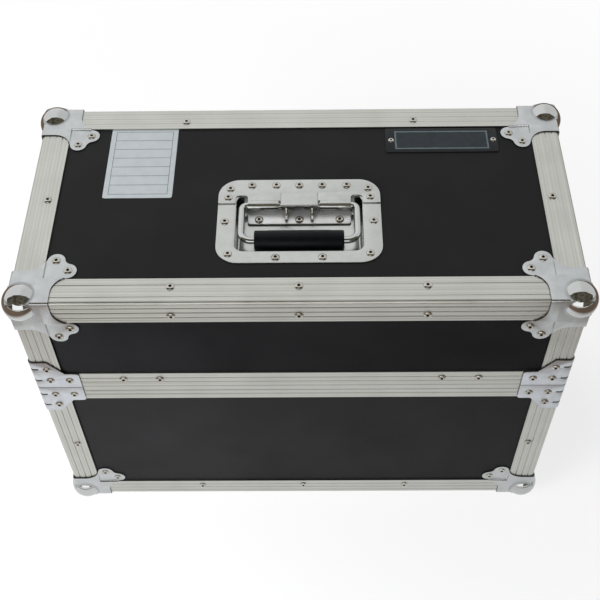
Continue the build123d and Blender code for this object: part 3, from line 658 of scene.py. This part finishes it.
def cornerBrace():
    sheet, reach, bend, tip = values(brace, "sheet", "reach", "bend", "tipRadius")
    outside = arc((bend, bend), bend + sheet, 180, 270, 8)
    inside = arc((bend, bend), bend, 270, 180, 8)
    angle = [(-sheet, reach)] + outside + [(reach, -sheet), (reach, 0)] + inside + [(0, reach)]
    piece = addPlate("brace", angle, brace["height"])
    # the sloping end of each leg, cut away by a plate past it on every side
    (topX, topZ), (footX, footZ), past, thick = brace["slopeTop"], brace["slopeFoot"], 9, 6
    away = [(reach + past, footZ - tip)] + arc((reach - tip, footZ - tip), tip, 0, 90, 6)
    away += [(footX, footZ), (topX, topZ), (topX, topZ + past), (reach + past, topZ + past)]
    for matrix in (frameOf((1, 0, 0), (0, 0, 1), (0, -1, 0), (0, thick / 2, 0)),
                   frameOf((0, 1, 0), (0, 0, 1), (1, 0, 0), (-thick / 2, 0, 0))):
        cut(piece, placed(addPlate("cutter", away, thick), matrix=matrix))
    for row in brace["slotRows"]:
        low, high = row - brace["slotHeight"] / 2, row + brace["slotHeight"] / 2
        cut(piece, addBox("slot", (-3, -3, low), (brace["slotReach"], brace["slotReach"], high)))
    # the faces of the sheet take the paler, painted-light nickel; the cut edge is bare steel in part, painted
    # darker as shade along the edge
    for face in coated(piece, braceLitNickel, edgeShadeSteel).data.polygons:
        x, y = (face.center / mm).xy
        depth = min(x, y) if max(x, y) > bend else bend - math.hypot(x - bend, y - bend)
        face.material_index = 0 if min(abs(depth), abs(depth + sheet)) < 0.06 else 1
    return smooth(roundEdges(piece, brace["edge"], 2, 40), 38)


modelBrace = cornerBrace()
for half, up in (("base", -1), ("lid", 1)):
    atCorners(modelBrace, "Brace", half, "braces", case["split"] + up * brace["fromSplit"], up)
bpy.data.objects.remove(modelBrace)
print("braces made")


# hollow rivets: a domed head with the bore left by the mandrel, painted dark inside as shade
rivet = {"bore": 1.35, "tilt": 3.0,
         "profile": ((3.65, -0.3), (3.7, 0.15), (3.35, 0.7), (2.55, 1.2), (1.65, 1.4), (1.35, 1.25),
                     (1.15, 0.2))}
modelRivet = coated(turned("rivet", rivet["profile"], 16), rivetSteel, rivetBorePaintedShade)
# the faces inside the bore take the dark colour: painted shade in the hole
for face in modelRivet.data.polygons:
    widest = max((modelRivet.data.vertices[v].co / mm).xy.length for v in face.vertices)
    face.material_index = 1 if widest < rivet["bore"] + 0.01 and face.center.z > 0 else 0
smooth(modelRivet, 50)
rivetSpots = {}


def rivetAt(group, point, outward=(0, 0, 1)):
    rivetSpots.setdefault(group, []).append((point, outward))


def rivetOn(group, face, a, b, proud=0.0):
    # on one of the six aluminium planes, from the two world coordinates along it
    width, depth = halfWidth + proud, halfDepth + proud
    rivetAt(group, *{
        "front": ((a, -depth, b), (0, -1, 0)), "rear": ((a, depth, b), (0, 1, 0)),
        "left": ((-width, a, b), (-1, 0, 0)), "right": ((width, a, b), (1, 0, 0)),
        "top": ((a, b, case["top"] + proud), (0, 0, 1)),
        "under": ((a, b, case["underside"] - proud), (0, 0, -1)),
    }[face])


def setRivets(group, slot, turnSeed, size=1.0):
    chance = random.Random(turnSeed)
    copies = []
    for index, (point, outward) in enumerate(rivetSpots[group]):
        tilt = Vector((0, 0, 1)).rotation_difference(Vector(outward)).to_matrix().to_4x4()
        spin = Matrix.Rotation(chance.uniform(0, 6.28), 4, "Z")
        lean = Matrix.Rotation(math.radians(chance.uniform(-rivet["tilt"], rivet["tilt"])), 4, "X")
        copies.append(placed(copyOf(modelRivet, f"{group}{index}"), point,
                             tilt @ lean @ spin @ Matrix.Diagonal((size, size, size, 1))))
    give(joined(group, copies), "base" if group.startswith("base") else "lid", slot, None)


spots = {"ears": ((33.5, 44.2), (44.3, 33.7)), "braces": ((13.6, 11.0), (30.2, 11.0), (13.6, 27.6)),
         "alongX": (-102.0, 0.0, 102.0), "fromEdge": 16.5, "postHeight": 101.0, "bandHeight": 11.0,
         "bandX": (121.7, 153.3), "earProud": -0.35, "braceProud": 1.15}
inset = spots["fromEdge"]
for half, height, up in halves:
    flat = "under" if half == "base" else "top"
    for sideX, endFace in ends:
        for sideY, longFace in longSides:
            for u, v in spots["ears"]:
                x, y, z = sideX * (halfWidth - u), sideY * (halfDepth - v), height + up * v
                for face, a, b in ((flat, x, y), (longFace, x, z), (endFace, sideY * (halfDepth - u), z)):
                    rivetOn(f"{half}EarRivets", face, a, b, spots["earProud"])
            for u, v in spots["braces"]:
                for face, a in ((longFace, sideX * (halfWidth - u)), (endFace, sideY * (halfDepth - u))):
                    rivetOn(f"{half}BraceRivets", face, a, case["split"] - up * v, spots["braceProud"])
    for sideY, longFace in longSides:
        for x in spots["alongX"]:
            if not (half == "lid" and sideY > 0 and x == 0):
                rivetOn(f"{half}EdgeRivets", flat, x, sideY * (halfDepth - inset))
            rivetOn(f"{half}EdgeRivets", longFace, x, height + up * inset)
    for sideX, endFace in ends:
        rivetOn(f"{half}EdgeRivets", flat, sideX * (halfWidth - inset), 0)
        rivetOn(f"{half}EdgeRivets", endFace, 0, height + up * inset)
for sideX, endFace in ends:
    for sideY, longFace in longSides:
        for face, a in ((longFace, sideX * (halfWidth - inset)), (endFace, sideY * (halfDepth - inset))):
            rivetOn("basePostRivets", face, a, case["underside"] + spots["postHeight"])
    for x in spots["bandX"]:
        rivetOn("lidBandRivets", "front", sideX * x, case["split"] + spots["bandHeight"])
groups = ("baseEar", "lidEar", "baseBrace", "lidBrace", "baseEdge", "lidEdge", "basePost", "lidBand")
for seed, group in enumerate(groups):
    setRivets(group + "Rivets", "corner_steel", seed)
print("rivets set")

# recessed handle: dish, hinge plate with cover and rolled barrels, clamp plate, springs, bail and grip;
# outer and pan are (width, length, corner radius, middle)
handle = {
    "rim": 332.7, "sheet": 1.2, "outer": (137.0, 91.0, 18.0, (0, -24.7)),
    "pan": (105.5, 60.5, 7.0, (0, -26.8)), "panDepth": 11.6, "draft": 6.0, "roll": 1.6, "floorRoll": 2.6,
    "axisY": -5.7, "axisDrop": 2.7, "barrel": 4.6, "barrelBore": 3.3, "barrelFrom": 17.4, "barrelTo": 43.5,
    "barrelRear": -3.6, "plateFront": -6.0, "notchRear": 2.7, "notchTo": 53.5, "notchCorner": 3.2,
    "coverHalf": 17.0, "coverFront": -9.2, "coverRear": 6.2, "coverTop": 2.5, "coverSlope": 2.2,
    "coverSheet": 0.9, "coverLap": 0.8, "coverRoll": 1.25,
    "clampHalf": 43.5, "clampFront": -20.1, "clampRear": -3.5, "clampCorner": 2.2, "clampTop": 9.1,
    "clampLip": 1.3, "clampY": -16.0, "clampTilt": 9.0,
    "supportX": 36.0, "supportHalf": 3.0, "supportFront": -13.0, "supportRear": -6.0,
    "wire": 3.0, "armX": 48.5, "pivotBend": 4.5, "gripBend": 9.0, "gripY": -44.4, "endGap": 4.0,
    "gripProfile": ((6.6, 37.0), (7.6, 36.9), (8.15, 36.4), (8.3, 35.6), (8.3, 26.2), (8.5, 25.6)),
    "plateRivets": ((0, 14.0), (19.5, 14.0), (40.3, 14.0), (58.5, 10.3), (60.0, 0.4)),
    "dishRivets": ((62.0, -25.7), (58.0, -60.8), (19.1, -64.8)), "clampRivets": (-34.0, 0.0, 34.0),
}
rim, axisY, axisZ = handle["rim"], handle["axisY"], handle["rim"] - handle["axisDrop"]
clampTop, clampY, clampTilt = rim - handle["clampTop"], handle["clampY"], math.radians(handle["clampTilt"])


def pressedDish(name, outer, mouth, depth, draft, roll, floorRoll):
    # a flange with a rounded mouth; outer and mouth are (width, length, corner radius, middle)
    def ring(shape, grow, height):
        width, length, radius, middle = shape
        outline = roundedOutline(width + 2 * grow, length + 2 * grow, max(radius + grow, 1.5), middle, 9)
        return [(x, y, height) for x, y in outline]

    slope, foot, steps = math.tan(math.radians(draft)), depth - floorRoll, 5
    turns = [math.radians(90 * i / steps) for i in range(steps + 1)]
    rings = [ring(outer, 0, 0)]
    rings += [ring(mouth, roll * (1 - math.sin(t)), -roll * (1 - math.cos(t))) for t in turns]
    rings.append(ring(mouth, -slope * foot, -foot))
    rings += [ring(mouth, -slope * foot - floorRoll * (1 - math.cos(t)), -foot - floorRoll * math.sin(t))
              for t in turns[1:]]
    return drawnThrough(name, rings, openStart=True)


def makeDish():
    dish = pressedDish("handleDish", handle["outer"], handle["pan"], handle["panDepth"], handle["draft"],
                       handle["roll"], handle["floorRoll"])
    thicken(placed(dish, (0, 0, rim)), handle["sheet"])
    give(softened(dish, 0.35, 3, 60), "lid", "handle_steel", handleZinc, "handle_dish")


def hingePlate():
    plate = addPlate("handleHingePlate", roundedOutline(*handle["outer"], 10), handle["sheet"])
    placed(plate, (0, 0, rim))
    low, high, far = rim - 5, rim + 5, 90  # past the plate on every side
    cut(plate, addBox("front", (-far, -far, low), (far, handle["plateFront"], high)))
    inner, outer = handle["barrelTo"], handle["notchTo"]
    for side in (-1, 1):
        notch = roundedOutline(outer - inner, 2 * far, handle["notchCorner"],
                               (side * (outer + inner) / 2, handle["notchRear"] - far), 6)
        cut(plate, placed(addPlate("notch", notch, high - low), (0, 0, low)))
    cut(plate, addBox("barrels", (-inner - 1, -far, low), (inner + 1, handle["barrelRear"], high)))
    opening = handle["coverHalf"] - handle["coverSlope"] + handle["coverLap"]
    rear = handle["coverRear"] - handle["coverSlope"]
    cut(plate, addBox("opening", (-opening, -far, low), (opening, rear, high)))
    return softened(plate, 0.3)


def rolledBarrel(side):
    start, end = sorted((side * handle["barrelFrom"], side * handle["barrelTo"]))
    barrel = addRod("barrel", (start, axisY, axisZ), (end, axisY, axisZ), handle["barrel"], 48)
    cut(barrel, addRod("bore", (start - 1, axisY, axisZ), (end + 1, axisY, axisZ), handle["barrelBore"], 48))
    return softened(barrel, 0.35)


def raisedCover():
    half, front, rear, slope = values(handle, "coverHalf", "coverFront", "coverRear", "coverSlope")
    top, inside = rim + handle["coverTop"], slope + handle["coverSheet"]
    cover = addBox("cover", (-half, front, rim), (half, rear, top))
    editWhere(cover, "vertices", lambda middle, vertex: middle.z > top - 0.01, bpy.ops.transform.resize,
              value=(1 - slope / half, 1, 1), center_override=(0, 0, top * mm))
    editWhere(cover, "vertices", lambda middle, vertex: middle.z > top - 0.01 and middle.y > 0,
              bpy.ops.transform.translate, value=(0, -slope * mm, 0))
    cut(cover, addBox("hollow", (inside - half, front - 3, rim - 3),
                      (half - inside, rear - inside, top - handle["coverSheet"])))
    softened(cover, 0.35, 3, 25)
    # front edge, rolled over
    reach, height = half - handle["coverSheet"], top - handle["coverRoll"] + 0.02
    lip = addRod("lip", (-reach, front, height), (reach, front, height), handle["coverRoll"])
    return [cover, softened(lip, 0.3, 3)]


def makeClampPlate():
    # held just under the barrels and leaning a little to the front
    front, rear, half, lip = values(handle, "clampFront", "clampRear", "clampHalf", "clampLip")
    outline = roundedOutline(2 * half, rear - front, handle["clampCorner"], (0, (front + rear) / 2))
    clamp = placed(addPlate("handleClampPlate", outline, lip), (0, 0, clampTop - lip))
    pick(clamp)
    bpy.ops.transform.rotate(value=-clampTilt, orient_axis="X",
                             center_override=(0, clampY * mm, clampTop * mm))
    pieces = [bakePlace(clamp)]
    for side in (-1, 1):
        x, reach = side * handle["supportX"], handle["supportHalf"]
        pieces.append(addBox("support", (x - reach, handle["supportFront"], rim - handle["panDepth"] - 0.3),
                             (x + reach, handle["supportRear"], clampTop - 0.2)))
    clamp = softened(joined("handleClampPlate", pieces), 0.4, 3)
    give(clamp, "lid", "handle_steel", clampLitZinc, "handle_clamp_plate")


def makeBail():
    # one bent rod, and a moulded sleeve a little thicker in the middle
    armX, gripY, bend, turn = values(handle, "armX", "gripY", "gripBend", "pivotBend")
    path = [(handle["endGap"], axisY)] + arc((armX - turn, axisY - turn), turn, 90, 0, 8)
    path += arc((armX - bend, gripY + bend), bend, 0, -90, 12)
    path += [(-x, y) for x, y in reversed(path)]
    bail = wire("handleBail", [(x, y, axisZ) for x, y in path], handle["wire"], 7)
    give(smooth(bail, 60), "bail", "handle_steel", chrome, "handle_bail")
    profile = [(r, -x) for r, x in handle["gripProfile"]] + list(reversed(handle["gripProfile"]))
    grip = turned("handleGrip", profile, 56)
    placed(grip, (0, gripY, axisZ), frameOf((0, 0, -1), (0, 1, 0), (1, 0, 0)))
    give(smooth(grip, 60), "bail", "grip_rubber", gripVinyl, "handle_grip")


# a coil on each side of the middle, with a leg down to the clamp plate; start holds (back, up) from the axis
spring = {"coil": 3.65, "wire": 0.62, "from": 4.6, "to": 15.6, "turns": 8, "steps": 16,
          "leg": 1.5, "legX": 10.9, "start": ((-3.9, 1.6), (-5.2, 0.0)), "elbowY": -12.6, "elbowUp": 1.1,
          "flatY": -14.2, "tipY": -17.4}


def makeSprings():
    pieces = []
    restZ, count = clampTop + spring["leg"], spring["turns"] * spring["steps"]
    for side in (-1, 1):
        coil = []
        for i in range(count + 1):
            angle = 2 * math.pi * i / spring["steps"]
            x = spring["from"] + (spring["to"] - spring["from"]) * i / count
            coil.append((side * x, axisY - spring["coil"] * math.sin(angle),
                         axisZ - spring["coil"] * math.cos(angle)))
        leg = [(axisY + back, axisZ + up) for back, up in spring["start"]]
        leg.append((spring["elbowY"], restZ + spring["elbowUp"]))
        leg += [(y, restZ + (y - clampY) * math.tan(clampTilt)) for y in (spring["flatY"], spring["tipY"])]
        leg = [(side * spring["legX"], y, z) for y, z in leg]
        pieces += [wire("coil", coil, spring["wire"], 3), wire("leg", leg, spring["leg"], 4),
                   addBall("tip", leg[-1], spring["leg"], 20, 12)]
    give(smooth(joined("handleSprings", pieces), 60), "lid", "spring_steel", springSteel, "handle_springs")


makeDish()
plate = joined("handleHingePlate", [hingePlate(), rolledBarrel(-1), rolledBarrel(1)] + raisedCover())
give(plate, "lid", "handle_steel", handleZinc, "handle_hinge_plate")
makeClampPlate()
makeBail()
makeSprings()
for x, y in handle["plateRivets"]:
    for side in ((-1, 1) if x else (1,)):
        rivetAt("handleRivets", (side * x, y, rim + handle["sheet"]))
for x, y in handle["dishRivets"]:
    for side in (-1, 1):
        rivetAt("handleRivets", (side * x, y, rim))
for x in handle["clampRivets"]:
    rivetAt("handleRivets", (x, clampY, clampTop), (0, -math.sin(clampTilt), math.cos(clampTilt)))
setRivets("handleRivets", "handle_steel", 20)
print("handle made")


# badge plate: left blank, a lacquered field inside a narrow rim with a thin painted line round it
badge = {"x": 125.5, "y": 69.5, "width": 99.0, "height": 30.0, "corner": 2.0, "sheet": 1.0,
         "panel": 331.5, "fieldWidth": 81.0, "fieldHeight": 21.0, "fieldCorner": 1.2, "recess": 0.25,
         "film": 0.1, "line": 1.4, "lineDepth": 0.3, "lineProud": 0.02, "endsLower": 0.005,
         "rivetX": (81.0, 171.3), "rivetSize": 0.72}


def makeBadge():
    x, y, sheet, wide, tall = values(badge, "x", "y", "sheet", "fieldWidth", "fieldHeight")
    floor, top, radius, gap = sheet - badge["recess"], badge["panel"] + sheet, badge["fieldCorner"], 0.1
    plate = addPlate("badgePlate", roundedOutline(badge["width"], badge["height"], badge["corner"]), sheet)
    roundEdges(plate, 0.25, 2, 50)
    cut(plate, placed(addPlate("field", roundedOutline(wide, tall, radius), 1.0), (0, 0, floor)))
    placed(smooth(plate, 40), (x, y, badge["panel"]))
    give(plate, "lid", "badge_paint", badgeLacquer, "badge_plate")
    field = addPlate("badgeField", roundedOutline(wide - gap, tall - gap, radius - gap / 2), badge["film"])
    give(placed(field, (x, y, badge["panel"] + floor)), "lid", "badge_paint", badgeEnamel)
    half, low, high = badge["line"] / 2, top - badge["lineDepth"], top + badge["lineProud"]
    sides = [addBox("side", (x - wide / 2 - half, y + s * tall / 2 - half, low),
                    (x + wide / 2 + half, y + s * tall / 2 + half, high)) for s in (-1, 1)]
    sides += [addBox("side", (x + s * wide / 2 - half, y - tall / 2, low),
                     (x + s * wide / 2 + half, y + tall / 2, high - badge["endsLower"])) for s in (-1, 1)]
    give(joined("badgeLine", sides), "lid", "badge_paint", badgeGrey)


makeBadge()
for x in badge["rivetX"]:
    rivetAt("badgeRivets", (x, badge["y"], badge["panel"] + badge["sheet"] - 0.1))
setRivets("badgeRivets", "badge_paint", 21, badge["rivetSize"])


# paper label: blank, with a frame and lines to write on
label = {"left": -168.0, "right": -108.5, "front": 2.8, "back": 87.6, "corner": 2.0, "paper": 0.14,
         "panel": 331.5, "lineWidth": 0.45, "margin": 4.5, "lines": 7, "ink": 0.02, "frameLower": 0.005}


def makeLabel():
    left, right, front, back = values(label, "left", "right", "front", "back")
    middle, margin = ((left + right) / 2, (front + back) / 2), label["margin"]
    outline = roundedOutline(right - left, back - front, label["corner"], middle)
    paper = placed(addPlate("paperLabel", outline, label["paper"]), (0, 0, label["panel"]))
    give(softened(paper, 0.05, 1), "lid", "badge_paint", labelPaper)
    top, half, ink = label["panel"] + label["paper"], label["lineWidth"] / 2, label["ink"]
    left, right, front, back = left + margin, right - margin, front + margin, back - margin
    rows = [front + i * (back - front) / label["lines"] for i in range(label["lines"] + 1)]
    strokes = [addBox("stroke", (left, y - half, top - ink), (right, y + half, top + ink)) for y in rows]
    strokes += [addBox("stroke", (x - half, front, top - ink),
                       (x + half, back, top + ink - label["frameLower"])) for x in (left, right)]
    give(joined("labelRuling", strokes), "lid", "badge_paint", labelInk)


makeLabel()
print("badge and label made")


# rubber feet: a tapered puck with a washer and a cross-head screw in its recess
foot = {"x": 160.0, "y": 64.0,
        "puck": ((17.0, 13.5), (15.85, 2.6), (15.3, 1.0), (14.2, 0.15), (13.0, 0.0), (8.2, 0.0), (7.4, 0.4),
                 (7.0, 1.2), (6.8, 5.0)),
        "washer": ((6.2, 5.2), (6.2, 4.3), (5.9, 4.1), (4.0, 4.1)),
        "screw": ((4.0, 4.4), (4.0, 3.0), (3.6, 2.2), (2.6, 1.7), (1.4, 1.55)),
        "crossReach": 2.2, "crossHalf": 0.45, "crossLow": 0.5, "crossHigh": 2.9}


def makeFeet():
    puck = coated(smooth(turned("rubberFeet", foot["puck"], 56), 35), footRubber)
    washer = turned("washer", foot["washer"], 40)
    screw = turned("screw", foot["screw"], 32)
    reach, half = foot["crossReach"], foot["crossHalf"]
    for turn in (0, 90):
        slot = addBox("slot", (-reach, -half, foot["crossLow"]), (reach, half, foot["crossHigh"]))
        cut(screw, placed(slot, matrix=Matrix.Rotation(math.radians(turn), 4, "Z")))
    model = joined("foot", [puck] + [coated(smooth(piece, 35), zinc) for piece in (washer, screw)])
    copies = []
    for sideX in (-1, 1):
        for sideY in (-1, 1):
            turn = Matrix.Rotation(math.radians(37 * sideX + 21 * sideY), 4, "Z")  # each screw its own way
            copies.append(placed(copyOf(model, "footCopy"), (sideX * foot["x"], sideY * foot["y"], 0), turn))
    bpy.data.objects.remove(model)
    give(joined("rubberFeet", copies), "base", "foot_rubber", None, "rubber_feet")


makeFeet()
print("feet made")


# foam: cut blocks whose edges have settled
for node in ("foam_base_block", "foam_front_row", "foam_middle_row", "foam_rear_row", "lid_foam"):
    piece = smoothedCopy(node, node + "_cut", foam, "foam", 1.1, 40)
print("foam made")

# recessed latches: one pressing in each end, parted at the split, with the works inside
latch = {"flange": (90.0, 124.0, 16.0, (0, -14.0)), "mouth": (62.0, 96.0, 9.0, (0, -14.0)), "depth": 16.0,
         "draft": 5.0, "roll": 1.8, "floorRoll": 3.0, "sheet": 1.2, "face": 228.5, "overBand": 1.5,
         "stepFrom": 19.7, "stepTo": 21.2, "fromSplit": 0.2,
         "rivets": ((38.0, 32.0, 1.2), (38.0, -32.0, 1.2), (38.0, -58.0, 1.2), (22.0, 41.2, 1.2),
                    (22.0, -69.2, 1.2), (38.0, 10.0, 2.7), (38.0, -10.0, 2.7))}


def latchPressing():
    sheet, start, spread = latch["sheet"], latch["stepFrom"], latch["stepTo"] - latch["stepFrom"]
    dish = pressedDish("latchDish", latch["flange"], latch["mouth"], latch["depth"] + sheet, latch["draft"],
                       latch["roll"], latch["floorRoll"])
    for share in (0.0, 0.3, 0.7, 1.0):
        for side in (-1, 1):
            sliced(dish, (0, side * (start + share * spread), 0), (0, 1, 0))
    # the flange steps over the closing band
    for vertex in dish.data.vertices:
        if vertex.co.z > -(latch["roll"] + 0.1) * mm:
            vertex.co.z += latch["overBand"] * eased((latch["stepTo"] - abs(vertex.co.y) / mm) / spread) * mm
    return thicken(placed(dish, (0, 0, sheet)), sheet)


def plated(node, rounding):
    smoothedCopy(node, node + "_plated", handleZinc, "latch_steel", rounding)


modelPressing = latchPressing()
for side, word in ends:
    endPlace = frameOf((0, side, 0), (0, 0, 1), (side, 0, 0), (side * latch["face"], 0, case["split"]))
    for half, sense, node in (("base", 1, "latch_dish_"), ("lid", -1, "keeper_dish_")):
        piece = copyOf(modelPressing, node + word + "_pressing")
        sliced(piece, (0, -sense * latch["fromSplit"], 0), (0, sense, 0), clearOuter=True, fill=True)
        softened(placed(piece, matrix=endPlace), 0.3, 2, 60)
        give(piece, half, "latch_steel", handleZinc, node + word)
    for x, y, proud in latch["rivets"]:
        for way in (-1, 1):
            spot = endPlace @ (Vector((way * x, y, proud)) * mm)
            rivetAt("lidLatchRivets" if y > 0 else "baseLatchRivets", spot / mm, (side, 0, 0))
    for node in ("latch_spindle_", "latch_wing_", "latch_hook_"):
        plated(node + word, 0.35)
bpy.data.objects.remove(modelPressing)
setRivets("baseLatchRivets", "latch_steel", 30)
setRivets("lidLatchRivets", "latch_steel", 31)
for node, rounding in (("latch_bridges", 0.3), ("latch_strikes", 0.3), ("latch_hook_pins", 0.15)):
    plated(node, rounding)
print("latches made")

# hinges on the back
hinge = {"x": 137.5, "rivetX": 16.0, "rivetZ": 11.0, "leaf": 1.4}
for node, rounding in (("hinge_base_leaves", 0.25), ("hinge_lid_leaves", 0.25), ("hinge_pins", 0.3)):
    plated(node, rounding)
for side in (-1, 1):
    for way in (-1, 1):
        x = side * hinge["x"] + way * hinge["rivetX"]
        rivetOn("baseHingeRivets", "rear", x, case["split"] - hinge["rivetZ"], hinge["leaf"])
        rivetOn("lidHingeRivets", "rear", x, case["split"] + hinge["rivetZ"], hinge["leaf"])
setRivets("baseHingeRivets", "latch_steel", 32)
setRivets("lidHingeRivets", "latch_steel", 33)
bpy.data.objects.remove(modelRivet)
print("hinges made")


def aimed(place, target):
    # the turn that points a camera or lamp from its place at the target
    return (Vector(target) - Vector(place)).to_track_quat("-Z", "Y")


view = {"place": (12.0, -605.1, 982.6), "target": (-0.15, -58.5, 267.6), "roll": 1.36, "lens": 62.66}
deselectAll()
bpy.ops.object.camera_add(location=Vector(view["place"]) * mm)
camera = bpy.context.object
camera.rotation_euler = (aimed(view["place"], view["target"])
                         @ Quaternion((0, 0, 1), math.radians(-view["roll"]))).to_euler()
camera.data.lens = view["lens"]
camera.data.sensor_width = 36.0
camera.data.clip_start = 0.01
bpy.context.scene.camera = camera


def shownTo(tree, rays, base, other):
    # the named kinds of ray see the other shader, all the rest see the base
    path = addNode(tree, "LightPath")
    seen = path.outputs[f"Is {rays[0]} Ray"]
    for kind in rays[1:]:
        seen = combine(tree, "MAXIMUM", seen, path.outputs[f"Is {kind} Ray"])
    return addNode(tree, "MixShader", None, i0=seen, i1=base, i2=other).outputs[0]


# the sky: soft light for the case, white to the eye, dimmer to the right for the metal
white = (1, 1, 1, 1)
sky = {"color": "#ffffff", "fill": 0.44, "from": -0.05, "to": 0.25, "leftRight": (1.0, 0.84)}
world = bpy.data.worlds.new("paleStudio")
bpy.context.scene.world = world
world.use_nodes = True
tree = world.node_tree
fill = feed(tree, tree.nodes["Background"], Color=linear(sky["color"]), Strength=sky["fill"])
ways = addNode(tree, "TexCoord").outputs["Generated"]
toRight = addNode(tree, "SeparateXYZ", None, Vector=ways).outputs["X"]
plain = addNode(tree, "Background", None, Color=white, Strength=1.0)
dimmer = addNode(tree, "Background", None, Color=white,
                 Strength=ramp(tree, toRight, sky["from"], sky["to"], *sky["leftRight"]))
lit = shownTo(tree, ("Camera", "Transmission"), fill.outputs[0], plain.outputs[0])
feed(tree, tree.nodes["World Output"], Surface=shownTo(tree, ("Glossy",), lit, dimmer.outputs[0]))

# the floor: white to the eye with the soft shadow kept; to the metal it glows white near the case and brown
# further off, dimmer to the right: a painted reflection; distances in metres
ground = {"size": 12.0, "color": "#f2f2f2", "shadowKept": 0.25, "shadowFrom": 0.3, "shadowTo": 0.95,
          "nearColor": "#ffffff", "farColor": "#857263", "near": 0.4, "far": 0.65,
          "from": -0.35, "to": 0.35, "leftRight": (1.0, 0.74)}
deselectAll()
bpy.ops.mesh.primitive_plane_add(size=ground["size"])
floor = named("studioFloor")
material, tree, surface = newMaterial("paleFloor", Roughness=1.0, Specular_IOR_Level=0.0,
                                      Base_Color=linear(ground["color"]))
place = addNode(tree, "TexCoord").outputs["Object"]
reach = addNode(tree, "VectorMath", {"operation": "LENGTH"}, i0=place).outputs["Value"]
across = addNode(tree, "SeparateXYZ", None, Vector=place).outputs["X"]
floorGlowColor = toned(tree, reach, ground["near"], ground["far"], ground["nearColor"], ground["farColor"])
floorGlossyGlow = addNode(tree, "Emission", None, Color=floorGlowColor,
                Strength=ramp(tree, across, ground["from"], ground["to"], *ground["leftRight"]))
glow = addNode(tree, "Emission", None, Color=white, Strength=1.0)
kept = ramp(tree, reach, ground["shadowFrom"], ground["shadowTo"], ground["shadowKept"], 0.0)
eye = addNode(tree, "MixShader", None, i0=kept, i1=glow.outputs[0], i2=surface.outputs[0])
seen = shownTo(tree, ("Camera",), surface.outputs[0], eye.outputs[0])
feed(tree, tree.nodes["Material Output"], Surface=shownTo(tree, ("Glossy",), seen, floorGlossyGlow.outputs[0]))
coated(floor, material)

# the dim side of the studio with its window, which only the polished metal shows;
# the window's edges are shares of the radius
room = {"radius": 2.4, "height": 0.3, "halfAngle": 72.0, "from": 2.0, "to": 92.0,
        "dim": "#6e6a5b", "dimmer": "#4d463c", "patch": 625.0, "glare": 1.5,
        "window": {"X": (-0.62, 0.28), "Z": (0.2, 0.62)}}
card = addBall("roomCard", (0, 0, 0), room["radius"] / mm, 72, 60)


def outsideRoom(middle, face):
    x, y, z = middle.normalized()
    rise = math.degrees(math.atan2(z, -y))
    return abs(math.degrees(math.asin(x))) > room["halfAngle"] or not room["from"] < rise < room["to"]


editWhere(card, "polygons", outsideRoom, bpy.ops.mesh.delete, type="FACE")
card.location.z = room["height"]
bakePlace(card)
material, tree, surface = newMaterial("roomPaint")
place = addNode(tree, "TexCoord").outputs["Object"]
axes = addNode(tree, "SeparateXYZ", None, Vector=place).outputs
inside = []
for axis, (low, high) in room["window"].items():
    past = combine(tree, "GREATER_THAN", axes[axis], low * room["radius"])
    short = combine(tree, "LESS_THAN", axes[axis], high * room["radius"])
    inside.append(combine(tree, "MULTIPLY", past, short))
inside = combine(tree, "MULTIPLY", *inside)
wall = toned(tree, noise(tree, place, room["patch"], 2.0), 0.4, 0.6, room["dim"], room["dimmer"])
paint = addNode(tree, "Emission", None, Color=blendColor(tree, inside, wall, white),
                Strength=ramp(tree, inside, 0, 1, 1.0, room["glare"]))
feed(tree, tree.nodes["Material Output"], Surface=paint.outputs[0])
card.visible_camera = card.visible_diffuse = card.visible_shadow = card.visible_transmission = False
coated(card, material)

lamps = {
    "keyLamp": {"place": (-1.0, 0.9, 1.8), "aim": (0, 0, 0.2), "size": 1.2, "power": 20.0},
    "sideLamp": {"place": (-0.95, -0.85, 0.8), "aim": (-0.1, 0, 0.2), "size": 0.7, "power": 12.0},
    "lowLamp": {"place": (-0.6, -0.55, 0.2), "aim": (-0.1, -0.1, 0.15), "size": 0.4, "power": 9.0},
}
for name, lamp in lamps.items():
    deselectAll()
    bpy.ops.object.light_add(type="AREA", location=lamp["place"])
    light = bpy.context.object
    light.name = name
    light.data.shape = "SQUARE"
    light.data.size = lamp["size"]
    light.data.energy = lamp["power"]
    light.rotation_euler = aimed(lamp["place"], lamp["aim"]).to_euler()
    light.visible_glossy = False  # the metal shows the room, not the lamps

bpy.context.scene.view_settings.view_transform = "Standard"
print("camera and light set")
